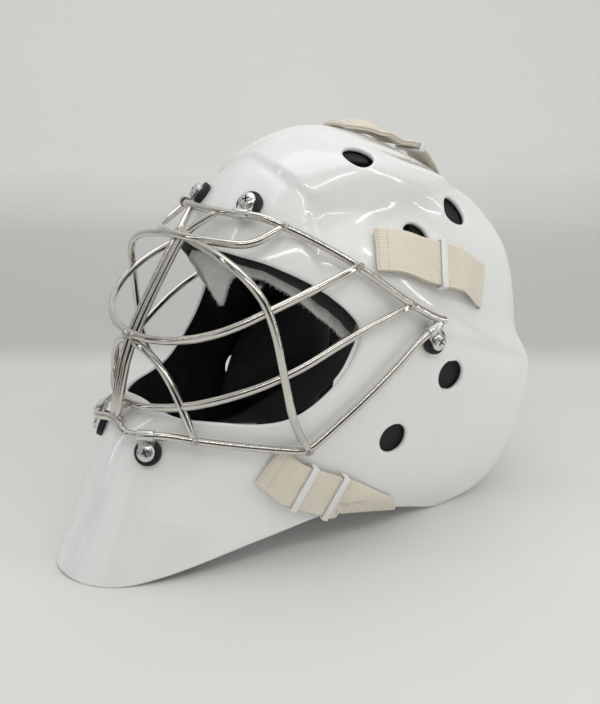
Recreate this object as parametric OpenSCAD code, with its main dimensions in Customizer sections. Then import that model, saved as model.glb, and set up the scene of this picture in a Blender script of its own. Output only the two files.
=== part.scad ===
// Hockey goalie mask: a rigid shell with a wire cage, foam liners, elastic straps and a sprung backplate.
// It stands on its chin and rear jaw corners: +Z up, the face looks along -Y, +X is the wearer's left.

/* [Shell] */
// length from the chin's tip to the rear opening, mm
shell_length = 332; // [320:1:344]
// width over the cheeks, mm
shell_width = 226; // [218:1:234]
// height from the floor to the crown, mm
shell_height = 282; // [272:1:292]
// thickness of the laminate, mm
shell_wall = 4; // [3:0.5:5]
// depth of the scoop behind each temple, mm
scoop_depth = 6; // [0:0.5:7]
// rise of the crown above the brow panel, mm
crown_step = 3; // [0:0.5:4]
// diameter of the vent and ear holes, mm
vent_diameter = 22; // [18:0.5:24]

/* [Cage] */
// diameter of the cage wire, mm
wire_diameter = 5.2; // [4.6:0.1:5.8]
// height of the wire's axis above the shell, mm
wire_height = 7.5; // [7:0.25:9]
// distance from a clip's screw to the wire's axis, mm
clip_arm = 11; // [10.5:0.25:13]
// width of a clip, mm
clip_width = 11; // [9:0.5:12]
// thickness of the clip's strip, mm
clip_strip = 1.2; // [1:0.1:1.4]
// diameter of the rubber washers, mm
washer_diameter = 18; // [16:0.5:19]
// thickness of the rubber washers, mm
washer_thickness = 4; // [3:0.25:4.5]
// diameter of the screw heads, mm
screw_head = 12; // [10:0.5:12.5]
// diameter of the screw shanks, mm
screw_shank = 4.8; // [4:0.1:5]
// clearance round the shanks, on the radius, mm
shank_clearance = 0.2; // [0.1:0.05:0.4]

/* [Straps] */
// width of the elastic, mm
strap_width = 31; // [28:0.5:34]
// width of the elastic over the crown, mm
top_width = 25; // [24:0.5:28]
// thickness of one layer of elastic, mm
strap_thickness = 1.8; // [1.4:0.1:2]
// width of a slide bar along the strap, mm
slide_width = 5; // [4:0.5:6]
// thickness of a slide bar, mm
slide_bar = 1.4; // [1.2:0.1:1.6]
// thickness of a slide's ends beside the strap, mm
slide_end = 1.3; // [1:0.1:2]
// clearance between a slide and its strap, mm
slide_clearance = 0.5; // [0.4:0.05:0.7]

/* [Liners] */
// gap between a liner and what it lies on, mm
liner_gap = 0.9; // [0.7:0.05:1.2]
// thickness of the forehead foam, mm
brow_foam = 9; // [6:0.5:11]
// thickness of the sweatband, mm
band_foam = 4; // [3:0.5:5]
// thickness of the temple foam, mm
temple_foam = 13; // [9:0.5:16]
// thickness of the jaw foam, mm
jaw_foam = 12; // [8:0.5:13]
// thickness of the crown foam, mm
crown_foam = 10; // [7:0.5:13]

/* [Backplate] */
// room between the shell's rear edge and the backplate on each side, mm
side_room = 24; // [22:1:30]
// height of the backplate, mm
plate_height = 150; // [140:1:154]
// thickness of the backplate, mm
plate_wall = 3.2; // [2.5:0.1:4]
// thickness of its foam, mm
plate_foam = 10; // [7:0.5:12]

/* [Hidden] */

// control points of the shell's left half, in mm on a shell of net_size:
// rows run from the chin's edge up over the face and crown, points from the centre plane to the rear edge
net_size = [226, 332, 282];
net = [
  [[0, -177, 3], [32, -164, 0], [54, -128, 6], [74, -62, 20], [85, -10, 27], [89, 40, 16], [87, 90, -1]],
  [[0, -160, 33], [27, -150, 33], [48, -118, 36], [72, -62, 44], [87, -12, 48], [97, 45, 40], [95, 125, 10]],
  [[0, -147, 62], [25, -138, 63], [47, -110, 64], [74, -60, 70], [92, -12, 74], [102, 50, 75], [104, 143, 35]],
  [[0, -133, 90], [27, -122, 90], [48, -98, 91], [76, -58, 92], [94, -14, 100], [106, 55, 106], [110, 153, 70]],
  [[0, -104, 118], [30, -100, 118], [55, -85, 118], [80, -52, 122], [96, -10, 132], [107, 62, 134], [113, 155, 106]],
  [[0, -90, 152], [32, -84, 153], [60, -66, 155], [82, -38, 158], [96, 2, 162], [103, 70, 162], [103, 149, 136]],
  [[0, -74, 186], [33, -68, 187], [60, -50, 190], [80, -20, 192], [92, 18, 193], [98, 80, 188], [97, 150, 165]],
  [[0, -61, 214], [32, -55, 214], [58, -36, 214], [76, -6, 214], [86, 32, 211], [89, 90, 206], [87, 150, 193]],
  [[0, -44, 239], [28, -38, 239], [50, -21, 238], [66, 10, 237], [75, 48, 233], [77, 97, 226], [69, 149, 215]],
  [[0, -18, 263], [25, -11, 262], [45, 8, 263], [59, 32, 262], [65, 66, 254], [61, 106, 244], [50, 149, 229]],
  [[0, 30, 281], [16, 33, 279], [29, 44, 274], [37, 60, 268], [40, 84, 259], [37, 116, 248], [28, 150, 236]],
  [[0, 88, 270], [12, 90, 268], [20, 96, 263], [24, 106, 258], [24, 118, 253], [19, 134, 247], [11, 150, 242]],
  [for (u = [0:6]) [0, 150, 243]]];
k = [shell_width / net_size.x, shell_length / net_size.y, shell_height / net_size.z];
// the middle of the head, in the net's own mm, and the shift that puts the part's middle over the origin
hub = [0, 60, 150];
shift = [0, 4 * k.y, 0];
hub_at = [0, hub.y * k.y + shift.y, hub.z * k.z];

function unit(v) = v / norm(v);
function ease(x) = let (c = min(1, max(0, x))) c * c * (3 - 2 * c);
function blend4(a, b, c, d, f) =
  0.5 * (2 * b + (c - a) * f + (2 * a - 5 * b + 4 * c - d) * f * f + (3 * b - a - 3 * c + d) * f * f * f);
function mirror_x(p) = [-p.x, p.y, p.z];
function both(list, side) = side > 0 ? list : [for (p = list) mirror_x(p)];

// the ridge over the scoop and the crease under it, as height against depth in side view
ridge = [[-40, 205], [-21, 222], [-13, 240], [4, 248], [22, 252], [41, 252], [67, 248], [88, 239], [99, 229],
  [116, 214], [147, 194], [160, 186]];
crease = [[-20, 212], [9, 198], [41, 178], [88, 153], [122, 137], [150, 118]];
function relief(q) =
  let (under = lookup(q.y, ridge) - q.z, side = ease((q.x - 30) / 25))
  let (scoop = ease(under / 10) * (1 - ease((under - 14) / 46)) * ease((q.y + 26) / 14)
               * (1 - ease((q.y - 72) / 36)))
  let (fold = exp(-pow((lookup(q.y, crease) - q.z) / 9, 2)) * ease((q.y - 5) / 40))
  let (crown = ease((q.z - 236 - 1.15 * max(0, -q.y - 0.25 * q.x + 6)) / 9) * ease((q.z - 205) / 20))
  side * (1.5 * fold - scoop_depth * scoop) + crown_step * (crown - 0.5) * ease((q.z - 200) / 30);

function row_point(r, u) =
  let (i = min(floor(u), 5), f = u - i)
  let (a = i > 0 ? r[i - 1] : mirror_x(r[1]), d = i < 5 ? r[i + 2] : 2 * r[6] - r[5])
  blend4(a, r[i], r[i + 1], d, f);
function net_point(u, t) =
  let (j = max(0, min(floor(t), 11)), f = t - j, b = row_point(net[j], u), c = row_point(net[j + 1], u))
  let (a = j > 0 ? row_point(net[j - 1], u) : 2 * b - c, d = j < 11 ? row_point(net[j + 2], u) : 2 * c - b)
  blend4(a, b, c, d, f);
// the outer skin at u across and t up, and points h above it
function skin(u, t) =
  let (q = net_point(abs(u), t), p = q + relief(q) * unit(q - hub))
  [(u < 0 ? -1 : 1) * p.x * k.x, p.y * k.y + shift.y, p.z * k.z];
function out(u, t) =
  let (e = 0.04, v = min(t, 11.9))
  unit(cross(skin(u + e, v) - skin(u - e, v), skin(u, v + e) - skin(u, v - e)));
function above(u, t, h) = skin(u, t) + h * out(u, t);

// a closed solid between two grids of points with the same rows and columns
module slab(top, bottom) {
  n = len(top);
  m = len(top[0]);
  points = concat([for (r = top, p = r) p], [for (r = bottom, p = r) p]);
  o = n * m;
  faces = concat(
    [for (i = [0:n - 2], j = [0:m - 2], s = [0, 1])
      s == 0 ? [i * m + j, (i + 1) * m + j + 1, i * m + j + 1] : [i * m + j, (i + 1) * m + j, (i + 1) * m + j + 1]],
    [for (i = [0:n - 2], j = [0:m - 2], s = [0, 1])
      s == 0 ? [o + i * m + j, o + i * m + j + 1, o + (i + 1) * m + j + 1]
        : [o + i * m + j, o + (i + 1) * m + j + 1, o + (i + 1) * m + j]],
    [for (j = [0:m - 2], s = [0, 1]) s == 0 ? [j, j + 1, o + j + 1] : [j, o + j + 1, o + j]],
    [for (j = [0:m - 2], s = [0, 1], e = [(n - 1) * m])
      s == 0 ? [e + j, o + e + j + 1, e + j + 1] : [e + j, o + e + j, o + e + j + 1]],
    [for (i = [0:n - 2], s = [0, 1])
      s == 0 ? [i * m, o + i * m, o + (i + 1) * m] : [i * m, o + (i + 1) * m, (i + 1) * m]],
    [for (i = [0:n - 2], s = [0, 1], e = [m - 1])
      s == 0 ? [i * m + e, o + (i + 1) * m + e, o + i * m + e]
        : [i * m + e, (i + 1) * m + e, o + (i + 1) * m + e]]);
  polyhedron(points, faces);
}

// the shell's grids of points, finer up the shell than across it
shell_cols = 18;
shell_rows = 46;
shell_top = 11.96;
function side_u(j) = (j / shell_cols - 1) * 6;
shell_out = [for (i = [0:shell_rows]) [for (j = [0:2 * shell_cols]) skin(side_u(j), i / shell_rows * shell_top)]];
function grid_normal(g, i, j) =
  let (n = len(g) - 1, m = len(g[0]) - 1)
  let (a = g[i][min(j + 1, m)] - g[i][max(j - 1, 0)], b = g[min(i + 1, n)][j] - g[max(i - 1, 0)][j])
  unit(cross(a, b));
function grid_offset(g, h) = [for (i = [0:len(g) - 1]) [for (j = [0:len(g[0]) - 1]) g[i][j] + h * grid_normal(g, i, j)]];

// the eye port's outline on the left half, from the brow round the cheek to the chin
port_half = [[0, 6.88], [0.5, 6.8], [1, 6.74], [1.8, 6.53], [2.7, 6.02], [3.3, 5.62], [3.7, 5.3], [3.95, 4.95],
  [4.02, 4.5], [3.94, 3.95], [3.7, 3.58], [3.34, 3.37], [2.84, 3.35], [2.2, 3.45], [1.3, 3.58], [0.5, 3.72],
  [0, 3.76]];
port_loop = concat(port_half, [for (i = [len(port_half) - 2:-1:1]) [-port_half[i].x, port_half[i].y]]);
function smooth_loop(p, n) =
  let (c = len(p))
  [for (i = [0:c - 1], s = [0:n - 1]) blend4(p[(i + c - 1) % c], p[i], p[(i + 1) % c], p[(i + 2) % c], s / n)];
module port_cut() {
  rim = [for (q = smooth_loop(port_loop, 2)) skin(q.x, q.y)];
  c = len(rim);
  inner = [for (p = rim) hub_at + 0.8 * (p - hub_at)];
  outer = [for (p = rim) hub_at + 1.4 * (p - hub_at)];
  mid = skin(0, 5.4) - hub_at;
  polyhedron(concat(inner, outer, [hub_at + 0.8 * mid, hub_at + 1.4 * mid]),
    [for (i = [0:c - 1], s = [0:3], e = [(i + 1) % c])
      s == 0 ? [i, e, c + e] : s == 1 ? [i, c + e, c + i] : s == 2 ? [2 * c, e, i] : [2 * c + 1, c + i, c + e]]);
}

// moves a child to the skin at u, t, with Z outwards and Y turned a degrees from the way to the rear
function seat_y(u, t, a) =
  let (n = out(u, t), e = 0.04, back = skin(u + e, t) - skin(u - e, t), b = unit(back - (back * n) * n))
  cos(a) * b + sin(a) * cross(n, b);
module seat(u, t, a = 0) {
  n = out(u, t);
  y = seat_y(u, t, a);
  x = cross(y, n);
  p = skin(u, t);
  multmatrix([[x.x, y.x, n.x, p.x], [x.y, y.y, n.y, p.y], [x.z, y.z, n.z, p.z], [0, 0, 0, 1]]) children();
}

// vents on the left half: crown, rear, temple, cheek and jaw
vents = [[2.85, 9.2], [5.22, 8.05], [4.5, 7.25], [5.2, 3.46], [4.72, 1.94]];
// clips on the left half: brow, temple and chin, each with the turn from its screw to the wire
clips_at = [[1.05, 7.9, -90], [4.92, 4.3, 122], [1.17, 2.76, 90]];
module on_clips() {
  for (c = clips_at) {
    seat(c[0], c[1], c[2]) children();
    mirror([1, 0, 0]) seat(c[0], c[1], c[2]) children();
  }
}

module shell() color("white") difference() {
  slab(shell_out, grid_offset(shell_out, -shell_wall));
  port_cut();
  translate([-shell_width, -shell_length, -50]) cube([2 * shell_width, 2 * shell_length, 50]);
  for (v = vents) {
    seat(v[0], v[1]) translate([0, 0, -15]) cylinder(d = vent_diameter, h = 30, $fn = 48);
    mirror([1, 0, 0]) seat(v[0], v[1]) translate([0, 0, -15]) cylinder(d = vent_diameter, h = 30, $fn = 48);
  }
  on_clips() translate([0, 0, -12]) cylinder(d = screw_shank + 2 * shank_clearance, h = 20, $fn = 24);
  strap_slot();
  mirror([1, 0, 0]) strap_slot();
}

// foam liners, each a patch of the shell's inner side between two heights
// edge(a) thins a liner towards its edges, where a runs from 0 to 1 across it
function edge(a) = 0.45 + 0.55 * pow(max(0, sin(180 * a)), 0.35);
// area(a, b) gives its u and t there, and how far it hangs further in
function patch(area, h, foam, n, m) =
  [for (i = [0:n]) [for (j = [0:m])
    let (a = j / m, b = i / n, q = area(a, b), drift = len(q) > 2 ? q.z : 0)
    above(q.x, q.y, -(h + drift + (foam == 0 ? 0 : foam * edge(a) * edge(b))))]];
module liner(area, h, foam, n, m) slab(patch(area, h, 0, n, m), patch(area, h, foam, n, m));
// the four corners' u and t, blended over a patch
function quad(c, a, b) = (1 - b) * ((1 - a) * c[0] + a * c[1]) + b * ((1 - a) * c[2] + a * c[3]);
inner_skin = shell_wall + liner_gap;
// height of the port's upper edge at u
function port_top(u) = lookup(abs(u), [[0, 6.88], [1, 6.74], [1.8, 6.53], [2.7, 6.02], [3.3, 5.62], [3.7, 5.3], [4, 4.9]]);
nut_height = 3;
nut_pocket = 19;
module nut_pockets() on_clips() translate([0, 0, -shell_wall - 12]) cylinder(d = nut_pocket, h = 12, $fn = 24);

// the forehead foam bridges the shell's brow crease, so it lies a little further in
brow_lift = 0.5;
brow_reach = 0.15;
module brow_pad() color("dimgray") difference() {
  liner(function(a, b) let (u = (2 * a - 1) * 3.55, low = port_top(u) - brow_reach) [u, low + b * (8.6 - low)],
    inner_skin + brow_lift, brow_foam, 12, 24);
  nut_pockets();
}
band_height = 0.3;
band_gap = 0.3;
// the sweatband's flap: how far it hangs down in t, its width in u, and how far its tip swings in, mm
flap_drop = 0.78;
flap_width = 0.62;
flap_swing = 20;
module sweatband() color("gray") liner(
  function(a, b)
    let (u = (2 * a - 1) * 3.75, flap = exp(-pow(u / flap_width, 2)))
    let (low = port_top(u) - band_height - flap_drop * flap)
    [u, low + b * (port_top(u) + 0.25 - low), flap_swing * flap * pow(1 - b, 2)],
  inner_skin + brow_lift + brow_foam + band_gap, band_foam, 6, 36);
module temple_pads() color("dimgray") for (side = [0, 1]) mirror([side, 0, 0])
  liner(function(a, b) quad([[4.45, 5], [5.4, 4.9], [4.3, 7.2], [5.35, 7.1]], a, b), inner_skin, temple_foam, 6, 6);
module jaw_pads() color("dimgray") for (side = [0, 1]) mirror([side, 0, 0])
  liner(function(a, b) quad([[4.43, 1.1], [5.8, 0.85], [5.24, 3.9], [5.85, 4]], a, b), inner_skin, jaw_foam, 8, 12);
module crown_pad() color("dimgray")
  liner(function(a, b) [(2 * a - 1) * (3.2 - 1.2 * b), 9.15 + 2.2 * b], inner_skin, crown_foam, 7, 12);

// wires
// a route is a list of [point, how far its corner is cut back], and its corners are drawn round
function corner(p, a, b, cut, n) =
  let (pa = p + min(cut, 0.49 * norm(a)) * unit(a), pb = p + min(cut, 0.49 * norm(b)) * unit(b))
  [for (s = [0:n]) let (f = s / n) (1 - f) * (1 - f) * pa + 2 * f * (1 - f) * p + f * f * pb];
function rounded(r, n = 3) =
  let (c = len(r))
  concat([r[0][0]],
    [for (i = [1:c - 2], p = corner(r[i][0], r[i - 1][0] - r[i][0], r[i + 1][0] - r[i][0], r[i][1], n)) p],
    [r[c - 1][0]]);
function rounded_loop(r, n = 3) =
  let (c = len(r))
  [for (i = [0:c - 1], o = [r[i][0]],
    p = corner(o, r[(i + c - 1) % c][0] - o, r[(i + 1) % c][0] - o, r[i][1], n)) p];
wire_sides = 8;
module wire(path, closed = false) {
  c = len(path);
  s = wire_sides;
  rings = [for (i = [0:c - 1])
    let (a = closed ? path[(i + c - 1) % c] : path[max(i - 1, 0)], b = closed ? path[(i + 1) % c] : path[min(i + 1, c - 1)])
    let (t = unit(b - a), w = path[i] - hub_at, n = unit(w - (w * t) * t), m = cross(t, n))
    for (j = [0:s - 1]) path[i] + wire_diameter / 2 * (cos(360 * j / s) * n + sin(360 * j / s) * m)];
  walls = [for (i = [0:(closed ? c - 1 : c - 2)], j = [0:s - 1], h = [0, 1], e = [(i + 1) % c], f = [(j + 1) % s])
    h == 0 ? [i * s + j, e * s + j, e * s + f] : [i * s + j, e * s + f, i * s + f]];
  ends = closed ? [] : [[for (j = [0:s - 1]) j], [for (j = [s - 1:-1:0]) (c - 1) * s + j]];
  polyhedron(rings, concat(walls, ends));
}
function frame_at(u, t) = above(u, t, wire_height);
function real(p) = [p.x * k.x, p.y * k.y + shift.y, p.z * k.z];
// the wire's axis at a clip: two points either side of it, so that it runs straight through
function clip_run(c) =
  let (n = out(c[0], c[1]), y = seat_y(c[0], c[1], c[2]), x = cross(y, n))
  let (w = skin(c[0], c[1]) + clip_arm * y + wire_height * n)
  [[w + (clip_width / 2 + 9) * x, 8], [w - (clip_width / 2 + 9) * x, 8]];
free = 99;
frame_half = concat(
  clip_run(clips_at[0]),
  [[frame_at(2, 7.35), free], [frame_at(2.72, 6.87), free], [frame_at(3.57, 6.2), free], [frame_at(4.49, 5.27), 18],
    [frame_at(4.9, 4.82), 7]],
  clip_run(clips_at[1]),
  [[frame_at(4.35, 3.58), free], [frame_at(3.5, 2.48), 8], [frame_at(2.73, 2.9), free], [frame_at(1.94, 3.07), free]],
  clip_run(clips_at[2]));
module cage_frame() color("silver") wire(rounded_loop(concat(
  [[frame_at(0, 7.58), free]], frame_half, [[above(0, 3.25, wire_height - 2.5), free]],
  [for (i = [len(frame_half) - 1:-1:0]) [mirror_x(frame_half[i][0]), frame_half[i][1]]])), true);
// a wire across the face: its left half's points, from the side to the centre, then the same mirrored
function across(half) = concat(half, [for (i = [len(half) - 2:-1:0]) [mirror_x(half[i][0]), half[i][1]]]);
module upper_bar() color("silver") wire(rounded(across([[frame_at(3.57, 6.2), 0], [real([92, -30, 192]), free],
  [real([86, -64, 181]), free], [real([71, -92, 167]), free], [real([40, -110, 158]), free],
  [real([0, -118, 155]), free]])));
module lower_bar() color("silver") wire(rounded(across([[frame_at(4.49, 5.27), 0], [real([100, -15, 157]), free],
  [real([92, -50, 139]), free], [real([69, -88, 123]), free], [real([38, -114, 113]), free],
  [real([0, -125, 109]), free]])));
module visor_loop() color("silver") wire(rounded(across([[frame_at(2, 7.35), 0], [real([56, -57, 215]), 11],
  [real([30, -75, 217]), free], [real([0, -82, 218]), free]])));
module centre_bars() color("silver") for (side = [-1, 1]) wire(both(rounded([[frame_at(0.52, 7.58), 0],
  [real([3, -74, 219]), 10], [real([3, -116, 156]), free], [real([3, -127, 120]), free],
  [above(0.1, 3.24, wire_height - 2.5), 0]]), side));
module eye_wires() color("silver") for (side = [-1, 1]) wire(both(rounded([[real([3, -74, 216]), 0],
  [real([20, -77, 215]), free], [real([52, -78, 211]), free], [real([79, -72, 197]), free],
  [real([89, -65, 177]), free], [real([94, -61, 140]), free], [real([95, -54, 106]), free],
  [frame_at(3.52, 2.5), 0]]), side));
module cheek_wires() color("silver") for (side = [-1, 1]) wire(both(rounded([[real([3, -116, 151]), 0],
  [real([14, -115, 150]), free], [real([33, -111, 139]), free], [real([46, -107, 118]), free],
  [frame_at(1.97, 3.07), 0]]), side));

// clips, each on its screw with a washer under it and a nut inside
washer_lift = 0.15;
tab_at = washer_lift + washer_thickness;
wire_fit = 0.05;
module clips() color("gainsboro") on_clips() difference() {
  union() {
    translate([-clip_width / 2, clip_arm, wire_height]) rotate([0, 90, 0])
      cylinder(d = wire_diameter + 2 * wire_fit + 2 * clip_strip, h = clip_width, $fn = 36);
    translate([-clip_width / 2, 0, tab_at]) cube([clip_width, clip_arm, 2 * clip_strip]);
    translate([0, 0, tab_at]) cylinder(d = clip_width, h = 2 * clip_strip, $fn = 36);
  }
  translate([-clip_width, clip_arm, wire_height]) rotate([0, 90, 0])
    cylinder(d = wire_diameter + 2 * wire_fit, h = 2 * clip_width, $fn = 36);
  cylinder(d = screw_shank + 2 * shank_clearance, h = 20, $fn = 24);
}
module clip_washers() color("black") on_clips() translate([0, 0, washer_lift]) difference() {
  cylinder(d = washer_diameter, h = washer_thickness, $fn = 48);
  translate([0, 0, -1]) cylinder(d = screw_shank + 2 * shank_clearance, h = washer_thickness + 2, $fn = 24);
}
head_height = 2.8;
nut_at = shell_wall + 0.8 + nut_height;
module clip_screws() color("silver") on_clips() difference() {
  union() {
    translate([0, 0, tab_at + 2 * clip_strip]) rotate_extrude($fn = 36)
      polygon([[0, 0], [screw_head / 2, 0], [screw_head / 2, 0.7], [screw_head / 2 * 0.86, 1.7],
        [screw_head / 2 * 0.5, head_height - 0.3], [0, head_height]]);
    translate([0, 0, -nut_at]) cylinder(d = screw_shank, h = nut_at + tab_at + 2 * clip_strip + 0.1, $fn = 24);
  }
  for (turn = [0, 90]) rotate(turn + 20)
    translate([-2.6, -0.5, tab_at + 2 * clip_strip + head_height - 1.6]) cube([5.2, 1, 2]);
}
module clip_nuts() color("dimgray") on_clips() translate([0, 0, -nut_at]) difference() {
  union() {
    cylinder(d = 9, h = nut_height, $fn = 6);
    translate([0, 0, nut_height - 1]) cylinder(d = 13, h = 1, $fn = 36);
  }
  translate([0, 0, -1]) cylinder(d = screw_shank + 2 * wire_fit, h = nut_height + 2, $fn = 24);
}

// straps
// a strap's route is a list of [middle of its inner face, cut, half its width as a vector, thickness]
function strap_corner(q, a, b, n) =
  let (va = a[0] - q[0], vb = b[0] - q[0])
  let (fa = min(q[1] / norm(va), 0.49), fb = min(q[1] / norm(vb), 0.49))
  let (pa = q[0] + fa * va, pb = q[0] + fb * vb, wa = q[2] + fa * (a[2] - q[2]), wb = q[2] + fb * (b[2] - q[2]))
  [for (s = [0:n]) let (f = s / n)
    [(1 - f) * (1 - f) * pa + 2 * f * (1 - f) * q[0] + f * f * pb,
      (1 - f) * (1 - f) * wa + 2 * f * (1 - f) * q[2] + f * f * wb, q[3]]];
function strap_path(r, n = 4) =
  let (c = len(r))
  [for (i = [0:c - 1])
    for (q = r[i][1] == 0 ? [[r[i][0], r[i][2], r[i][3]]] : strap_corner(r[i], r[i - 1], r[i + 1], n)) q];
// the strap's inner face, or its outer face where full is 1
function strap_face(path, full) =
  let (c = len(path) - 1)
  [for (i = [0:c])
    let (d = path[min(i + 1, c)][0] - path[max(i - 1, 0)][0], n = full * path[i][2] * unit(cross(d, path[i][1])))
    [path[i][0] - path[i][1] + n, path[i][0] + path[i][1] + n]];
module ribbon(route) {
  path = strap_path(route);
  slab(strap_face(path, 1), strap_face(path, 0));
}
half_strap = strap_width / 2;
// a seat's frame as [middle, way along the strap, half width]
function strap_seat(u, t, a, h) =
  let (y = seat_y(u, t, a), n = out(u, t))
  [above(u, t, h), y, half_strap * cross(n, y)];
// the same from the skin under the strap's upper and lower edges
function strap_line(a, b, h) =
  let (p = above(a.x, a.y, h), q = above(b.x, b.y, h), w = unit(p - q))
  [(p + q) / 2, cross(w, unit(out(a.x, a.y) + out(b.x, b.y))), half_strap * w];
single = strap_thickness;
double = 2 * strap_thickness;
// the step where a folded strap's upper layer ends
step = 0.3;
slide_lift = slide_bar + slide_clearance + 0.7;
module slide_ring(s) {
  d = s[1];
  w = unit(s[2]);
  n = cross(d, w);
  p = s[0];
  room = [slide_width, 2 * (norm(s[2]) + slide_clearance), double + 2 * slide_clearance];
  full = room + [0, 2 * slide_end, 2 * slide_bar];
  multmatrix([[d.x, w.x, n.x, p.x], [d.y, w.y, n.y, p.y], [d.z, w.z, n.z, p.z], [0, 0, 0, 1]])
    translate([0, 0, strap_thickness]) difference() {
      cube(full, center = true);
      cube([2 * room.x, room.y, room.z], center = true);
    }
}

hem_side = strap_line([3.68, 7.4], [3.93, 6.07], 2.4);
bend_side = strap_line([4.18, 7.3], [4.31, 5.95], 5);
slide_side = strap_line([4.77, 6.86], [4.84, 5.54], slide_lift + 2.4);
slot_mouth = strap_line([5.5, 6.34], [5.46, 5.24], 0);
slot_out = cross(slot_mouth[1], unit(slot_mouth[2]));
function at_slot(back, h) = slot_mouth[0] + back * slot_mouth[1] + h * slot_out;
function along(seat, d) = seat[0] + d * seat[1];
side_route = [[hem_side[0], 0, hem_side[2], double], [bend_side[0], 12, bend_side[2], double],
  [along(slide_side, -10), 4, slide_side[2], double],
  [along(slide_side, 18), 0, slide_side[2], double], [along(slide_side, 18 + step), 0, slide_side[2], single],
  [along(slide_side, 23), 4, slide_side[2], single], [at_slot(-6, 2.4), 4, slot_mouth[2], single],
  [at_slot(0, 1.8), 2.5, slot_mouth[2], single], [at_slot(0, -shell_wall - 4), 0, slot_mouth[2], single]];
module strap_slot() multmatrix([
  [slot_mouth[1].x, slot_mouth[2].x / half_strap, slot_out.x, slot_mouth[0].x],
  [slot_mouth[1].y, slot_mouth[2].y / half_strap, slot_out.y, slot_mouth[0].y],
  [slot_mouth[1].z, slot_mouth[2].z / half_strap, slot_out.z, slot_mouth[0].z], [0, 0, 0, 1]])
  translate([-1.6, -half_strap - 1.2, -20]) cube([strap_thickness + 3.4, strap_width + 2.4, 30]);
module side_strap() ribbon(side_route);

chin_mid = strap_seat(3.76, 0.98, -30, slide_lift + 0.8);
front_slide_at = [along(chin_mid, -16), chin_mid[1], chin_mid[2]];
rear_slide_at = [along(chin_mid, 11), chin_mid[1], chin_mid[2]];
hem_chin = strap_seat(3, 2.2, -40, 0.7);
rim_mid = skin(4.55, 0);
rim_half = (skin(5.05, 0) - skin(4.05, 0)) / 2 * strap_width / 31;
rim_out = out(4.55, 0.1);
rim_down = unit(skin(4.55, 0) - skin(4.55, 0.2));
chin_route = [[hem_chin[0], 0, hem_chin[2], double], [along(chin_mid, -25), 5, chin_mid[2], double],
  [along(chin_mid, 17), 0, chin_mid[2], double], [along(chin_mid, 17 + step), 0, chin_mid[2], single],
  [along(chin_mid, 22), 4, chin_mid[2], single],
  [above(4.45, 0.4, 3.2), 3, rim_half, single], [rim_mid + 1.4 * rim_out + 1.6 * rim_down, 1.2, rim_half, single],
  [rim_mid - (shell_wall + 1.4) * rim_out + 1.6 * rim_down, 1.2, rim_half, single],
  [above(4.55, 0.35, -shell_wall - 1.4), 0, rim_half, single]];
module chin_strap() ribbon(chin_route);

flat_top = strap_seat(0, 11.6, 90, 8);
hem_top = strap_seat(0, 10.47, 90, 0.6);
bend_top = strap_seat(0, 10.85, 90, 8);
valley_top = strap_seat(0, 11.4, 90, 3.6);
rear_edge = skin(0, 12);
across_x = [-top_width / 2, 0, 0];
slide_top = [along(flat_top, 5), flat_top[1], across_x];
top_route = [[hem_top[0], 0, across_x, double], [bend_top[0], 12, across_x, double],
  [valley_top[0], 7, across_x, double], [along(flat_top, -3), 3, across_x, double],
  [along(flat_top, 9), 0, across_x, double], [along(flat_top, 9 + step), 0, across_x, single],
  [along(flat_top, 13), 4, across_x, single], [rear_edge + [0, -1, 4], 4, across_x, single],
  [rear_edge + [0, 4.5, -4], 0, across_x, single]];
module top_strap() color("beige") ribbon(top_route);
module side_strap_left() color("beige") side_strap();
module side_strap_right() color("beige") mirror([1, 0, 0]) side_strap();
module chin_strap_left() color("beige") chin_strap();
module chin_strap_right() color("beige") mirror([1, 0, 0]) chin_strap();
module top_slide() color("white") slide_ring(slide_top);
module side_slide_left() color("white") slide_ring(slide_side);
module side_slide_right() color("white") mirror([1, 0, 0]) slide_ring(slide_side);
module front_slide_left() color("white") slide_ring(front_slide_at);
module front_slide_right() color("white") mirror([1, 0, 0]) slide_ring(front_slide_at);
module rear_slide_left() color("white") slide_ring(rear_slide_at);
module rear_slide_right() color("white") mirror([1, 0, 0]) slide_ring(rear_slide_at);

// backplate
plate_mid = real([0, 166, 148]);
plate_width = 2 * (skin(6, 5).x - side_room);
plate_drop = [28, 22];
plate_square = 0.42;
// a point h outside the plate's inner face, a across and b up, each from -1 to 1
function plate_xz(a, b) = [a * plate_width / 2 * sqrt(1 - plate_square * b * b),
  b * plate_height / 2 * sqrt(1 - plate_square * a * a)];
function plate_out(x, z) = unit([8 * plate_drop.x * x / pow(plate_width, 2), 1, 8 * plate_drop.y * z / pow(plate_height, 2)]);
function plate_point(x, z, h) = plate_mid + [x, -plate_drop.x * pow(2 * x / plate_width, 2)
  - plate_drop.y * pow(2 * z / plate_height, 2), z] + h * plate_out(x, z);
function plate_at(q, h) = plate_point(q.x, q.y, h);
function plate_grid(n, size, h, foam) = [for (i = [0:n]) [for (j = [0:n])
  let (a = 1 - 2 * j / n, b = 2 * i / n - 1, q = size * plate_xz(a, b))
  plate_point(q.x, q.y, h - (foam == 0 ? 0 : foam * edge((1 + a) / 2) * edge((1 + b) / 2)))]];
rivet_shank = 4;
rivet_head = 8;
rivet_room = 0.4;
// half the distance between a pair of rivets, and between the pair on the crown's narrower elastic
rivet_spread = 9;
top_spread = 7;
// where the straps come onto the plate and end, from its middle
side_on = [plate_width / 2 - 11, 16];
side_end = side_on - [15, 0];
jaw_on = [plate_width / 2 - 21, -42];
jaw_end = jaw_on - [15, 0];
top_on = [0, 62];
top_end = [0, 47];
// how far a strap reaches onto the plate before its rivets
rivet_in = [6, 0];
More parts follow.
